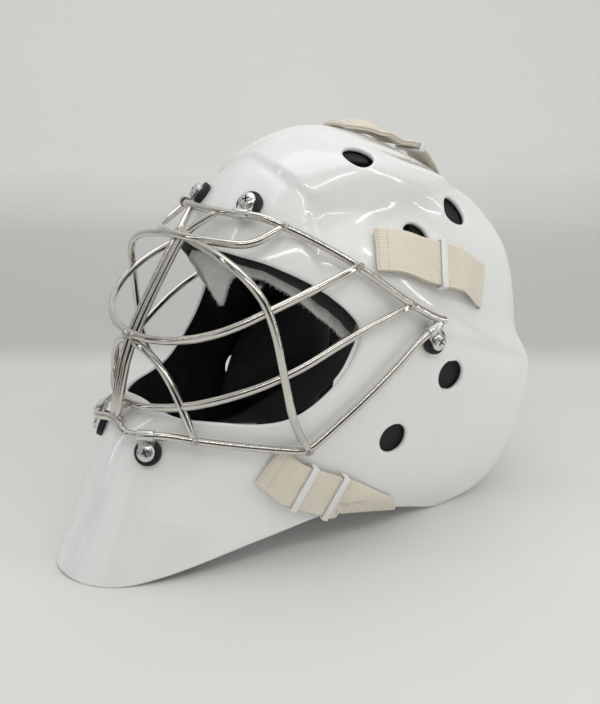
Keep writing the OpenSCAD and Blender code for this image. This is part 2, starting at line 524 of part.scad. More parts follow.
// the pairs of rivets, each with the turn from one to the other and half their distance
function rivet_pair(q, turn, spread = rivet_spread) = [q.x, q.y, turn, spread];
side_rivets = side_on - rivet_in;
jaw_rivets = jaw_on - rivet_in;
ends = [rivet_pair((top_on + top_end) / 2 + [0, 1.5], 0, top_spread), rivet_pair(side_rivets, 90),
  rivet_pair([-side_rivets.x, side_rivets.y], 90), rivet_pair(jaw_rivets, 90),
  rivet_pair([-jaw_rivets.x, jaw_rivets.y], 90)];
module on_rivets() for (e = ends, s = [-1, 1]) {
  q = [e.x, e.y] + s * e[3] * [cos(e.z), sin(e.z)];
  n = plate_out(q.x, q.y);
  p = plate_point(q.x, q.y, plate_wall);
  x = unit(cross([0, 0, 1], n));
  y = cross(n, x);
  multmatrix([[x.x, y.x, n.x, p.x], [x.y, y.y, n.y, p.y], [x.z, y.z, n.z, p.z], [0, 0, 0, 1]]) children();
}
module backplate() color("white") difference() {
  slab(plate_grid(16, 1, plate_wall, 0), plate_grid(16, 1, 0, 0));
  on_rivets() translate([0, 0, -plate_wall - 5]) cylinder(d = rivet_shank, h = plate_wall + 10, $fn = 24);
}
module backplate_pad() color("dimgray")
  slab(plate_grid(12, 0.86, -liner_gap, 0), plate_grid(12, 0.86, -liner_gap, plate_foam));
end_gap = 0.7;
module plate_rivets() color("silver") on_rivets() {
  translate([0, 0, -plate_wall + 1.2]) cylinder(d = rivet_shank, h = plate_wall - 1.2 + end_gap + strap_thickness + 1.2, $fn = 24);
  translate([0, 0, end_gap + strap_thickness + 0.9]) rotate_extrude($fn = 36)
    polygon([[0, 0], [rivet_head / 2, 0], [rivet_head / 2 * 0.85, 1], [rivet_head / 2 * 0.4, 1.7], [0, 1.9]]);
}
// the straps' hidden ends, which stretch when the plate is pulled
// room beside the plate in which a side strap turns onto it
turn_room = 11;
module pierced(route) difference() {
  ribbon(route);
  on_rivets() translate([0, 0, -6]) cylinder(d = rivet_shank + 2 * rivet_room, h = 14, $fn = 24);
}
function last(list) = list[len(list) - 1];
plate_back = plate_wall + end_gap;
top_inner = [last(top_route), [real([0, 156.5, 226]), 10, across_x, single],
  [plate_at(top_on, plate_back), 4, across_x, single], [plate_at(top_end, plate_back), 0, across_x, single]];
module top_inner_strap() color("beige") pierced(top_inner);
upright = [0, 0, half_strap];
// half a strap's width up the plate's outer face
function plate_up(q) = half_strap * unit(plate_at(q + [0, 1], 0) - plate_at(q - [0, 1], 0));
side_inner = [last(side_route), [at_slot(0, -shell_wall - 8), 3, upright, single],
  [plate_at(side_on, plate_back) + [turn_room, -1, 0], 8, upright, single],
  [plate_at(side_on, plate_back), 3, plate_up(side_on), single],
  [plate_at(side_end, plate_back), 0, plate_up(side_end), single]];
module side_inner_left() color("beige") pierced(side_inner);
module side_inner_right() color("beige") mirror([1, 0, 0]) pierced(side_inner);
jaw_back = plate_back + strap_thickness;
jaw_turn = [15.5, 1, -4.4];
jaw_inner = [last(chin_route), [real([75, 34, 34]), 8, [0, 16, -8] * strap_width / 31, single],
  [real([73, 66, 40]), 14, [0, 6, -15] * strap_width / 31, single],
  [real([76, 122, 66]), 18, [0, 8, -14] * strap_width / 31, single],
  [plate_at(jaw_on, jaw_back) + jaw_turn, 8, -upright, single],
  [plate_at(jaw_on, jaw_back), 3, -plate_up(jaw_on), single],
  [plate_at(jaw_end, jaw_back), 0, -plate_up(jaw_end), single]];
module jaw_inner_left() color("dimgray") pierced(jaw_inner);
module jaw_inner_right() color("dimgray") mirror([1, 0, 0]) pierced(jaw_inner);

shell();
brow_pad();
sweatband();
temple_pads();
jaw_pads();
crown_pad();
cage_frame();
centre_bars();
upper_bar();
lower_bar();
eye_wires();
cheek_wires();
visor_loop();
clips();
clip_washers();
clip_screws();
clip_nuts();
top_strap();
side_strap_left();
side_strap_right();
chin_strap_left();
chin_strap_right();
top_slide();
side_slide_left();
side_slide_right();
front_slide_left();
front_slide_right();
rear_slide_left();
rear_slide_right();
backplate();
backplate_pad();
plate_rivets();
top_inner_strap();
side_inner_left();
side_inner_right();
jaw_inner_left();
jaw_inner_right();
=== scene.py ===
import math

import bmesh
import bpy
import numpy as np
from bpy.props import FloatProperty, FloatVectorProperty, IntProperty, PointerProperty
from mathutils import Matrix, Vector
from mathutils.noise import noise


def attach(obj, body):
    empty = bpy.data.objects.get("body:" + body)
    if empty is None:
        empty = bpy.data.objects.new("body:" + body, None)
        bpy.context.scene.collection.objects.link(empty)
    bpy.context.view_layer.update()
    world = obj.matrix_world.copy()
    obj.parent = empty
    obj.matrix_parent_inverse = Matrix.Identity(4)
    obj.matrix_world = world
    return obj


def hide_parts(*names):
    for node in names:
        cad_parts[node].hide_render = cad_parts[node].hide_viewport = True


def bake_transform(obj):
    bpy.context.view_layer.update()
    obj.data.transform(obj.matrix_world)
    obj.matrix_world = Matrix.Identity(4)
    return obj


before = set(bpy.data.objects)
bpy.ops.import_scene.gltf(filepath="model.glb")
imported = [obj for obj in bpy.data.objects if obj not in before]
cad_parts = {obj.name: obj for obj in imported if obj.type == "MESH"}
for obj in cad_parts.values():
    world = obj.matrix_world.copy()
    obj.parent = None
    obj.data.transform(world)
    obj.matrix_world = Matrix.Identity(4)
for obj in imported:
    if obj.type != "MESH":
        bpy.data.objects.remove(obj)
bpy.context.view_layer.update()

bl_info = {
    "name": "Hockey goalie mask",
    "version": (1, 0, 0),
    "blender": (4, 5, 0),
    "location": "3D View > Sidebar > Goalie mask",
    "description": "Shell, cage, pads and straps of a goalie mask",
    "category": "Mesh",
}

MM = 0.001


# Sizes and colours

def length_value(name, about, default, low, high):
    return FloatProperty(name=name, description=about, default=default, min=low, max=high,
                         subtype="DISTANCE", unit="LENGTH")


def colour_value(name, about, default):
    return FloatVectorProperty(name=name, description=about, default=default, min=0, max=1, size=3,
                               subtype="COLOR")


class MaskShellSettings(bpy.types.PropertyGroup):
    """The laminate shell's sizes and colours"""
    wall: length_value("Wall", "Thickness of the laminate", 4 * MM, 3 * MM, 5 * MM)
    scoop: length_value("Scoop", "Depth of the scoop behind each temple", 6 * MM, 0, 7 * MM)
    crown_step: length_value("Crown step", "Rise of the crown above the brow panel", 3 * MM, 0, 4 * MM)
    vent: length_value("Vent", "Diameter of the vent and ear holes", 22 * MM, 18 * MM, 24 * MM)
    rim_round: length_value("Rim rounding", "How far the rounded rims reach into the openings",
                            1.7 * MM, 0.5 * MM, 2.5 * MM)
    columns: IntProperty(name="Columns", description="Cells across the shell", default=156, min=40, max=220)
    rows: IntProperty(name="Rows", description="Cells up the shell", default=196, min=40, max=260)
    gel_coat: colour_value("Gel coat", "Colour of the outer laminate", (0.87, 0.873, 0.87))
    lining: colour_value("Lining", "Colour of the inner side", (0.008, 0.008, 0.009))


class MaskCageSettings(bpy.types.PropertyGroup):
    """The wire cage and its clips"""
    wire: length_value("Wire", "Diameter of the cage wire", 5.2 * MM, 4.6 * MM, 5.8 * MM)
    bead: length_value("Weld bead", "Radius of a weld bead", 2.9 * MM, 1 * MM, 4 * MM)
    wire_metal: colour_value("Wire metal", "Colour of the plated wire", (0.69, 0.67, 0.62))
    clip_metal: colour_value("Clip metal", "Colour of the clips and screws", (0.72, 0.72, 0.71))
    rubber: colour_value("Rubber", "Colour of the washers", (0.014, 0.014, 0.015))


class MaskStrapSettings(bpy.types.PropertyGroup):
    """The elastic straps and their slides"""
    width: length_value("Width", "Width of the elastic", 31 * MM, 28 * MM, 34 * MM)
    thickness: length_value("Thickness", "Thickness of one layer of elastic", 1.8 * MM, 1.4 * MM, 2 * MM)
    rib_depth: length_value("Rib depth", "Depth of the grooves between the ribs", 0.2 * MM, 0, 0.5 * MM)
    ribs: IntProperty(name="Ribs", description="Ribs across a strap", default=21, min=6, max=30)
    top_width: length_value("Top width", "Width of the elastic over the crown", 25 * MM, 24 * MM, 28 * MM)
    elastic: colour_value("Elastic", "Colour of the straps", (0.92, 0.85, 0.72))
    webbing: colour_value("Webbing", "Colour of the jaw straps' inner ends", (0.016, 0.016, 0.017))
    thread: colour_value("Thread", "Colour of the stitching", (0.56, 0.44, 0.29))
    plastic: colour_value("Slides", "Colour of the slides and the backplate", (0.84, 0.84, 0.83))


class MaskPadSettings(bpy.types.PropertyGroup):
    """The liners"""
    foam: colour_value("Foam", "Colour of the foam pads", (0.024, 0.024, 0.026))
    felt: colour_value("Felt", "Colour of the sweatband", (0.86, 0.86, 0.84))
    fibres: IntProperty(name="Fibres", description="Loose fibres along the sweatband's lower edge",
                        default=5200, min=10, max=9000)


def shell_settings():
    return bpy.context.scene.mask_shell


def cage_settings():
    return bpy.context.scene.mask_cage


def strap_settings():
    return bpy.context.scene.mask_straps


def pad_settings():
    return bpy.context.scene.mask_pads


# The shell's form, in mm as in the part's source

# control points of the left half: rows from the chin's edge up over the face and crown,
# points in a row from the centre plane to the rear edge
NET = [
    [[0, -177, 3], [32, -164, 0], [54, -128, 6], [74, -62, 20], [85, -10, 27], [89, 40, 16],
     [87, 90, -1]],
    [[0, -160, 33], [27, -150, 33], [48, -118, 36], [72, -62, 44], [87, -12, 48], [97, 45, 40],
     [95, 125, 10]],
    [[0, -147, 62], [25, -138, 63], [47, -110, 64], [74, -60, 70], [92, -12, 74], [102, 50, 75],
     [104, 143, 35]],
    [[0, -133, 90], [27, -122, 90], [48, -98, 91], [76, -58, 92], [94, -14, 100], [106, 55, 106],
     [110, 153, 70]],
    [[0, -104, 118], [30, -100, 118], [55, -85, 118], [80, -52, 122], [96, -10, 132], [107, 62, 134],
     [113, 155, 106]],
    [[0, -90, 152], [32, -84, 153], [60, -66, 155], [82, -38, 158], [96, 2, 162], [103, 70, 162],
     [103, 149, 136]],
    [[0, -74, 186], [33, -68, 187], [60, -50, 190], [80, -20, 192], [92, 18, 193], [98, 80, 188],
     [97, 150, 165]],
    [[0, -61, 214], [32, -55, 214], [58, -36, 214], [76, -6, 214], [86, 32, 211], [89, 90, 206],
     [87, 150, 193]],
    [[0, -44, 239], [28, -38, 239], [50, -21, 238], [66, 10, 237], [75, 48, 233], [77, 97, 226],
     [69, 149, 215]],
    [[0, -18, 263], [25, -11, 262], [45, 8, 263], [59, 32, 262], [65, 66, 254], [61, 106, 244],
     [50, 149, 229]],
    [[0, 30, 281], [16, 33, 279], [29, 44, 274], [37, 60, 268], [40, 84, 259], [37, 116, 248],
     [28, 150, 236]],
    [[0, 88, 270], [12, 90, 268], [20, 96, 263], [24, 106, 258], [24, 118, 253], [19, 134, 247],
     [11, 150, 242]],
    [[0, 150, 243]] * 7,
]
# the relief stands off the net on the way out from this point
HUB = np.array([0.0, 60.0, 150.0])
# where the net lies in the part's frame
NET_SHIFT = np.array([0.0, 4.0, 0.0])
# the sheet ends just short of the point that closes the net, and so do its normals
TOP_ROW = 11.96
LAST_NORMAL = 11.9
# half the step in u and t over which the skin's slopes are taken
SLOPE_STEP = 0.04
# the ridge over the scoop and the crease under it, as (depth, height) in side view
RIDGE_POINTS = [(-40, 205), (-21, 222), (-13, 240), (4, 248), (22, 252), (41, 252), (67, 248), (88, 239),
                (99, 229), (116, 214), (147, 194), (160, 186)]
CREASE_POINTS = [(-20, 212), (9, 198), (41, 178), (88, 153), (122, 137), (150, 118)]
# the face opening's left half and its upper edge, in u and t
PORT_HALF = [(0, 6.88), (0.5, 6.8), (1, 6.74), (1.8, 6.53), (2.7, 6.02), (3.3, 5.62), (3.7, 5.3),
             (3.95, 4.95), (4.02, 4.5), (3.94, 3.95), (3.7, 3.58), (3.34, 3.37), (2.84, 3.35),
             (2.2, 3.45), (1.3, 3.58), (0.5, 3.72), (0, 3.76)]
PORT_TOP = ([0, 1, 1.8, 2.7, 3.3, 3.7, 4], [6.88, 6.74, 6.53, 6.02, 5.62, 5.3, 4.9])
# u and t of the vent and ear holes, and of the screws
VENTS = [(2.85, 9.2), (5.22, 8.05), (4.5, 7.25), (5.2, 3.46), (4.72, 1.94)]
SCREWS = [(1.05, 7.9), (4.92, 4.3), (1.17, 2.76)]
SIDES = (1, -1)


def padded_net():
    """The net with one more point at both ends of each row, and one more row at both of its ends."""
    rows = []
    for row in NET:
        r = np.array(row, float)
        rows.append(np.vstack([r[1] * (-1, 1, 1), r, 2 * r[6] - r[5]]))
    rows = np.array(rows)
    return np.concatenate([[2 * rows[0] - rows[1]], rows, [2 * rows[12] - rows[11]]])


NET_POINTS = padded_net()


def unit(v):
    """The vector, or each of an array of them, made one long."""
    v = np.asarray(v, float)
    return v / np.linalg.norm(v, axis=-1, keepdims=True)


def ease(x):
    """A smooth rise from 0 to 1 as x goes from 0 to 1."""
    c = np.clip(x, 0, 1)
    return c * c * (3 - 2 * c)


def blend_weights(f):
    """The weights of four points in a row, at a share f of the way from the second to the third."""
    return 0.5 * np.stack([-f + 2 * f ** 2 - f ** 3, 2 - 5 * f ** 2 + 3 * f ** 3,
                           f + 4 * f ** 2 - 3 * f ** 3, f ** 3 - f ** 2], axis=-1)


def smooth_line(points, steps=12):
    """A line through the points, as depths and heights close enough together to be smooth."""
    p = np.array(points, float)
    p = np.vstack([2 * p[0] - p[1], p, 2 * p[-1] - p[-2]])
    shares = [np.array(s / steps) for s in range(steps)]
    dense = [blend_weights(f) @ p[i:i + 4] for i in range(len(p) - 3) for f in shares]
    dense = np.array(dense + [p[-2]])
    return dense[:, 0], dense[:, 1]


RIDGE = smooth_line(RIDGE_POINTS)
CREASE = smooth_line(CREASE_POINTS)


def net_point(u, t):
    """The smooth net's points at u across and t up."""
    i = np.clip(np.floor(u), 0, 5).astype(int)
    j = np.clip(np.floor(t), 0, 11).astype(int)
    across, up = blend_weights(u - i), blend_weights(t - j)
    total = 0
    for m in range(4):
        for n in range(4):
            total = total + (up[..., m] * across[..., n])[..., None] * NET_POINTS[j + m, i + n]
    return total


def relief(q):
    """Height of the scoop, its fold and the crown's step above the smooth net."""
    s = shell_settings()
    x, y, z = q[..., 0], q[..., 1], q[..., 2]
    under = np.interp(y, *RIDGE) - z
    # it fades downwards from the ridge, and towards the temple and the ear
    scoop = ease(under / 10) * (1 - ease((under - 14) / 46))
    scoop = scoop * ease((y + 26) / 14) * (1 - ease((y - 72) / 36))
    fold = np.exp(-((np.interp(y, *CREASE) - z) / 9) ** 2) * ease((y - 5) / 40)
    crown = ease((z - 236 - 1.15 * np.maximum(0, -y - 0.25 * x + 6)) / 9) * ease((z - 205) / 20)
    side = ease((x - 30) / 25)
    step = s.crown_step / MM
    return side * (1.5 * fold - s.scoop / MM * scoop) + step * (crown - 0.5) * ease((z - 200) / 30)


def skin(u, t):
    """Points of the outer skin, in mm, at u across and t up."""
    u, t = np.broadcast_arrays(np.asarray(u, float), np.asarray(t, float))
    q = net_point(np.abs(u), t)
    p = q + relief(q)[..., None] * unit(q - HUB)
    side = np.stack([np.where(u < 0, -1.0, 1.0), np.ones_like(u), np.ones_like(u)], axis=-1)
    return p * side + NET_SHIFT


def out(u, t):
    """The skin's outward normal."""
    u = np.asarray(u, float)
    t = np.minimum(np.asarray(t, float), LAST_NORMAL)
    e = SLOPE_STEP
    return unit(np.cross(skin(u + e, t) - skin(u - e, t), skin(u, t + e) - skin(u, t - e)))


def above(u, t, h):
    """Points at a height over the skin."""
    return skin(u, t) + np.asarray(h, float)[..., None] * out(u, t)


def way_back(u, t, turn):
    """The way along the skin to the rear, turned about its normal by some degrees."""
    n = out(u, t)
    back = skin(u + SLOPE_STEP, t) - skin(u - SLOPE_STEP, t)
    b = unit(back - np.dot(back, n) * n)
    a = math.radians(turn)
    return math.cos(a) * b + math.sin(a) * np.cross(n, b)


def real(x, y, z):
    """A place measured as the net is, in the part's frame."""
    return np.array([x, y, z], float) + NET_SHIFT


# Making pieces

def select_only(obj):
    bpy.ops.object.select_all(action="DESELECT")
    obj.hide_viewport = False
    obj.select_set(True)
    bpy.context.view_layer.objects.active = obj


def in_edit(obj, *steps):
    """Runs edit-mode steps on all of the piece's mesh."""
    select_only(obj)
    bpy.ops.object.mode_set(mode="EDIT")
    bpy.ops.mesh.select_all(action="SELECT")
    for step, values in steps:
        step(**values)
    bpy.ops.object.mode_set(mode="OBJECT")


def apply(obj, kind, **values):
    """Adds a modifier and applies it."""
    select_only(obj)
    m = obj.modifiers.new(kind.title(), kind)
    for name, value in values.items():
        setattr(m, name, value)
    bpy.ops.object.modifier_apply(modifier=m.name)


def points_of(obj):
    co = np.empty(len(obj.data.vertices) * 3)
    obj.data.vertices.foreach_get("co", co)
    return co.reshape(-1, 3)


def move_points(obj, co):
    obj.data.vertices.foreach_set("co", np.asarray(co, float).ravel())
    obj.data.update()


def smooth(obj, degrees):
    select_only(obj)
    bpy.ops.object.shade_smooth_by_angle(angle=math.radians(degrees))


def bevelled(obj, width, segments, degrees):
    """Rounds the edges sharper than an angle; the width is in mm."""
    apply(obj, "BEVEL", width=width * MM, segments=segments, limit_method="ANGLE",
          angle_limit=math.radians(degrees))


def flats_merged(obj):
    """Makes each flat of a CAD copy one face."""
    in_edit(obj, (bpy.ops.mesh.dissolve_limited, {"angle_limit": math.radians(1)}))


def outward(obj):
    """Turns all faces outwards."""
    in_edit(obj, (bpy.ops.mesh.normals_make_consistent, {"inside": False}))


def flat_grid(name, across, up):
    """A grid primitive from -1 to 1, and its points."""
    bpy.ops.object.select_all(action="DESELECT")
    bpy.ops.mesh.primitive_grid_add(x_subdivisions=across, y_subdivisions=up, size=2)
    obj = bpy.context.object
    obj.name = name
    obj.data.name = name
    return obj, points_of(obj)


def grid(name, across, up):
    """A grid, with each vertex's place from 0 to 1 across and up."""
    obj, co = flat_grid(name, across, up)
    return obj, (co[:, 0] + 1) / 2, (co[:, 1] + 1) / 2


def slab(name, across, up, place):
    """A closed piece between two grids. place(a, b, side) gives the points in mm, of face 0 or 1."""
    obj, a, b = grid(name, across, up)
    apply(obj, "SOLIDIFY", thickness=0.1, offset=-1)
    move_points(obj, np.concatenate([place(a, b, 0), place(a, b, 1)]) * MM)
    outward(obj)
    return obj


def copy_of(node, name):
    """A merged copy of a CAD node's mesh."""
    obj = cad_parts[node].copy()
    obj.data = obj.data.copy()
    obj.parent = None
    for key in list(obj.keys()):
        del obj[key]
    obj.name = name
    obj.data.name = name
    bpy.context.scene.collection.objects.link(obj)
    obj.data.materials.clear()
    in_edit(obj, (bpy.ops.mesh.remove_doubles, {"threshold": 1e-5}))
    return obj


def join(name, parts):
    """Makes the parts one piece."""
    bpy.ops.object.select_all(action="DESELECT")
    for p in parts:
        p.select_set(True)
    bpy.context.view_layer.objects.active = parts[0]
    bpy.ops.object.join()
    parts[0].name = name
    parts[0].data.name = name
    return parts[0]


def mirrored(obj, name):
    """A copy with its own mesh on the other side of the centre plane."""
    new = obj.copy()
    new.data = obj.data.copy()
    new.name = name
    new.data.name = name
    bpy.context.scene.collection.objects.link(new)
    move_points(new, points_of(new) * (-1, 1, 1))
    in_edit(new, (bpy.ops.mesh.flip_normals, {}))
    return new


def dress(obj, slot, body, *materials, nodes=()):
    """Gives a piece its materials and its body, and hides the nodes that it stands for. Its slot is not
    used. A piece given no body is attached to none."""
    for m in materials:
        obj.data.materials.append(m)
    if body:
        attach(obj, body)
    if nodes:
        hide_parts(*nodes)


# Materials

class Paint:
    """A node material, built up step by step."""

    def __init__(self, name, **shader):
        self.material = bpy.data.materials.new(name)
        self.material.use_nodes = True
        self.tree = self.material.node_tree
        self.shader = self.tree.nodes["Principled BSDF"]
        for socket, value in shader.items():
            self.shader.inputs[socket.replace("_", " ")].default_value = value
        self.place = self.tree.nodes.new("ShaderNodeTexCoord")
        self.normal = None

    def node(self, kind, **values):
        n = self.tree.nodes.new(kind)
        for name, value in values.items():
            setattr(n, name, value)
        return n

    def link(self, a, b):
        self.tree.links.new(a, b)

    def noise(self, scale, detail=3.0, rough=0.5, stretch=None):
        n = self.node("ShaderNodeTexNoise")
        n.inputs["Scale"].default_value = scale
        n.inputs["Detail"].default_value = detail
        n.inputs["Roughness"].default_value = rough
        where = self.place.outputs["Object"]
        if stretch:
            m = self.node("ShaderNodeMapping")
            m.inputs["Scale"].default_value = stretch
            self.link(where, m.inputs["Vector"])
            where = m.outputs["Vector"]
        self.link(where, n.inputs["Vector"])
        return n.outputs["Fac"]

    def cells(self, scale):
        n = self.node("ShaderNodeTexVoronoi")
        n.inputs["Scale"].default_value = scale
        self.link(self.place.outputs["Object"], n.inputs["Vector"])
        return n.outputs["Distance"]

    def wave(self, scale, axis, bend=0.0):
        """Bands across one axis of the UV map."""
        n = self.node("ShaderNodeTexWave", wave_type="BANDS", bands_direction=axis)
        n.inputs["Scale"].default_value = scale
        n.inputs["Distortion"].default_value = bend
        self.link(self.place.outputs["UV"], n.inputs["Vector"])
        return n.outputs["Fac"]

    def ramp(self, source, *stops):
        """Stops are (place, colour or grey)."""
        n = self.node("ShaderNodeValToRGB")
        elements = n.color_ramp.elements
        while len(elements) < len(stops):
            elements.new(0.5)
        for e, (at, value) in zip(elements, stops):
            e.position = at
            e.color = (*value, 1) if hasattr(value, "__len__") else (value, value, value, 1)
        self.link(source, n.inputs["Fac"])
        return n.outputs["Color"]

    def patches(self, noise, low, high, start=0.3, stop=0.7):
        """Soft patches between two colours or greys."""
        return self.ramp(noise, (start, low), (stop, high))

    def mix(self, factor, a, b, how="MIX"):
        n = self.node("ShaderNodeMix", data_type="RGBA", blend_type=how)
        for socket, value in ((n.inputs["Factor"], factor), (n.inputs["A"], a), (n.inputs["B"], b)):
            if isinstance(value, bpy.types.NodeSocket):
                self.link(value, socket)
            elif hasattr(value, "__len__"):
                socket.default_value = (*value, 1)
            else:
                socket.default_value = value
        return n.outputs["Result"]

    def bump(self, height, distance, strength):
        n = self.node("ShaderNodeBump")
        n.inputs["Strength"].default_value = strength
        n.inputs["Distance"].default_value = distance
        self.link(height, n.inputs["Height"])
        if self.normal:
            self.link(self.normal, n.inputs["Normal"])
        self.normal = n.outputs["Normal"]

    def done(self, colour=None, roughness=None):
        if colour:
            self.link(colour, self.shader.inputs["Base Color"])
        if roughness:
            self.link(roughness, self.shader.inputs["Roughness"])
        if self.normal:
            self.link(self.normal, self.shader.inputs["Normal"])
        return self.material


def tint(colour, by):
    """The colour made darker or lighter."""
    return tuple(min(1.0, c * by) for c in colour)


def gel_coat():
    c = shell_settings().gel_coat
    p = Paint("gel_coat", Coat_Weight=0.6, Coat_Roughness=0.05, Specular_IOR_Level=0.5)
    colour = p.patches(p.noise(9, 4), tint(c, 0.965), tint(c, 1.02))
    # fine scuffs, only where the coat is worn
    scuff = p.patches(p.noise(420, 2, 0.7, stretch=(1, 0.12, 1)), 0.0, 1.0, 0.68, 0.74)
    worn = p.patches(p.noise(24, 3), 0.0, 0.55, 0.55, 0.75)
    marks = p.mix(1.0, scuff, worn, "MULTIPLY")
    colour = p.mix(marks, colour, tint(c, 0.86))
    rough = p.mix(marks, (0.16,) * 3, (0.42,) * 3)
    p.bump(p.noise(30, 2), 0.0005, 0.05)
    return p.done(colour, rough)


def lining():
    c = shell_settings().lining
    p = Paint("black_lining", Specular_IOR_Level=0.15)
    colour = p.patches(p.noise(70, 3), tint(c, 0.7), tint(c, 1.6))
    p.bump(p.noise(900, 2), 0.0002, 0.35)
    return p.done(colour, p.patches(p.noise(90, 2), 0.7, 0.9))


def plated(name, c, low, high, grain=1500, dent=60):
    """Plated or bright metal, with a roughness from low to high, a fine grain and shallow dents."""
    p = Paint(name, Metallic=1.0)
    colour = p.patches(p.noise(dent, 3), tint(c, 0.86), tint(c, 1.05))
    p.bump(p.noise(dent * 2.5, 2), 0.0005, 0.12)
    p.bump(p.noise(grain, 2), 0.0001, 0.10)
    return p.done(colour, p.patches(p.noise(grain / 4, 4, 0.6), low, high))


def weld_metal():
    p = Paint("weld_metal", Metallic=1.0)
    c = cage_settings().wire_metal
    colour = p.patches(p.noise(500, 3), tint(c, 0.45), tint(c, 0.95), stop=0.65)
    p.bump(p.noise(1400, 2), 0.0003, 0.5)
    return p.done(colour, p.patches(p.noise(700, 2), 0.22, 0.45))


def rubber():
    c = cage_settings().rubber
    p = Paint("black_rubber", Specular_IOR_Level=0.4)
    colour = p.patches(p.noise(160, 3), tint(c, 0.7), tint(c, 1.9), stop=0.72)
    p.bump(p.noise(2200, 2), 0.0002, 0.25)
    return p.done(colour, p.patches(p.noise(300, 2), 0.45, 0.65))


def ribbed(name, c):
    """Ribbed elastic. The UV's X runs along the strap in decimetres, its Y across it from 0 to 1."""
    p = Paint(name, Specular_IOR_Level=0.2, Sheen_Weight=0.35, Sheen_Roughness=0.5)
    ribs = p.wave(strap_settings().ribs * 0.1 * math.pi, "Y")
    knit = p.wave(48, "X", bend=0.6)
    fuzz = p.noise(1600, 3, 0.6)
    soil = p.noise(42, 4, 0.6)
    # painted shade: the grooves between the ribs are darker and their crests a little lighter, and the
    # knit's grooves are darker too
    colour = p.ramp(ribs, (0.0, tint(c, 0.74)), (0.5, tint(c, 1.0)), (1.0, tint(c, 1.06)))
    colour = p.mix(p.patches(knit, 0.22, 0.0, 0.0, 0.5), colour, tint(c, 0.7))
    colour = p.mix(p.patches(soil, 0.0, 0.35, 0.35, 0.75), colour, tint(c, 0.78))
    colour = p.mix(p.patches(fuzz, 0.0, 0.3, 0.3, 0.8), colour, tint(c, 1.12))
    p.bump(knit, 0.0003, 0.55)
    p.bump(fuzz, 0.0003, 0.4)
    return p.done(colour, p.patches(fuzz, 0.78, 0.95, 0.2, 0.8))


def thread():
    c = strap_settings().thread
    p = Paint("tan_thread", Roughness=0.75, Sheen_Weight=0.3)
    colour = p.patches(p.noise(900, 2), tint(c, 0.65), tint(c, 1.25))
    p.bump(p.noise(3000, 2), 0.0002, 0.6)
    return p.done(colour)


def moulded(name, c, low, high):
    """Moulded plastic with fine scratches, and a roughness from low to high."""
    p = Paint(name, Specular_IOR_Level=0.5, Subsurface_Weight=0.06, Subsurface_Scale=0.002)
    colour = p.patches(p.noise(60, 3), tint(c, 0.95), tint(c, 1.03))
    scratch = p.patches(p.noise(700, 2, 0.6, stretch=(1, 0.15, 1)), 0.0, 0.6, 0.66, 0.75)
    colour = p.mix(scratch, colour, tint(c, 0.82))
    p.bump(p.noise(1300, 2), 0.0001, 0.25)
    return p.done(colour, p.patches(p.noise(240, 3), low, high))


def foam():
    c = pad_settings().foam
    p = Paint("black_foam", Specular_IOR_Level=0.22)
    pores = p.cells(1500)
    # painted shade in the pores' pits, and a painted highlight on the walls between them
    colour = p.ramp(pores, (0.0, tint(c, 0.35)), (0.5, tint(c, 1.0)), (1.0, tint(c, 1.8)))
    p.bump(pores, 0.0003, 0.7)
    p.bump(p.noise(120, 3), 0.0008, 0.25)
    return p.done(colour, p.patches(p.noise(60, 2), 0.62, 0.8))


def felt():
    c = pad_settings().felt
    p = Paint("grey_felt", Specular_IOR_Level=0.15, Sheen_Weight=0.6, Sheen_Roughness=0.4)
    fibres = p.noise(1400, 4, 0.7, stretch=(1, 1, 0.35))
    clumps = p.noise(190, 4, 0.6)
    colour = p.ramp(fibres, (0.25, tint(c, 0.6)), (0.6, tint(c, 1.0)), (0.85, tint(c, 1.45)))
    colour = p.mix(p.patches(clumps, 0.0, 0.45, 0.4), colour, tint(c, 0.72))
    p.bump(fibres, 0.0007, 0.8)
    p.bump(clumps, 0.0015, 0.5)
    return p.done(colour, p.patches(clumps, 0.85, 0.98))


FINISHES = {
    "gel_coat": gel_coat,
    "lining": lining,
    "wire": lambda: plated("chromed_wire", cage_settings().wire_metal, 0.10, 0.20),
    "weld": weld_metal,
    "clip": lambda: plated("bright_steel", cage_settings().clip_metal, 0.18, 0.34, 1800, 140),
    "rivet": lambda: plated("rivet_steel", cage_settings().clip_metal, 0.2, 0.36, 1800, 140),
    "nut": lambda: plated("black_nut", (0.10, 0.10, 0.11), 0.35, 0.5, 1500, 120),
    "rubber": rubber,
    "elastic": lambda: ribbed("cream_elastic", strap_settings().elastic),
    "webbing": lambda: ribbed("black_webbing", strap_settings().webbing),
    "thread": thread,
    "slide": lambda: moulded("white_slide", strap_settings().plastic, 0.28, 0.42),
    "plate": lambda: moulded("white_plastic", tint(strap_settings().plastic, 0.96), 0.32, 0.5),
    "foam": foam,
    "felt": felt,
}
made = {}


def material(name):
    """Each finish is made once, when the first piece asks for it."""
    if name not in made:
        made[name] = FINISHES[name]()
    return made[name]


# The shell

# mm of skin to one unit of u and t, about
MM_PER_UNIT = 30
SCREW_HOLE = 3.0
# what the strap's slot has to spare on each side, the radius of its corners, and how much wider it
# is cut for its rounded rim, in mm
SLOT_ROOM = (1.7, 1.2)
SLOT_CORNER = 1
SLOT_GROW = 0.6
# an opening is cut only this near its middle along its axis, in mm, so not through the far side
TEST_DEPTH = {"hole": 25, "slot": 20}
FAR_OFF = 50.0
# a vertex this near the outline, as a share of its edge, is moved onto it
SNAP_SHARE = 0.28
# points of the sheet this near each other are merged, in mm
MERGE_DISTANCE = 0.45
# bands of faces round a rim
RIM_STEPS = 6


def port_loop(steps=8):
    """The face opening's closed outline, on the same blend as the net."""
    points = PORT_HALF + [(-u, t) for u, t in reversed(PORT_HALF[1:-1])]
    loop, count = [], len(points)
    for i in range(count):
        four = np.array([points[(i + k) % count] for k in (-1, 0, 1, 2)], float)
        for s in range(steps):
            loop.append(blend_weights(np.array(s / steps)) @ four)
    return np.array(loop)


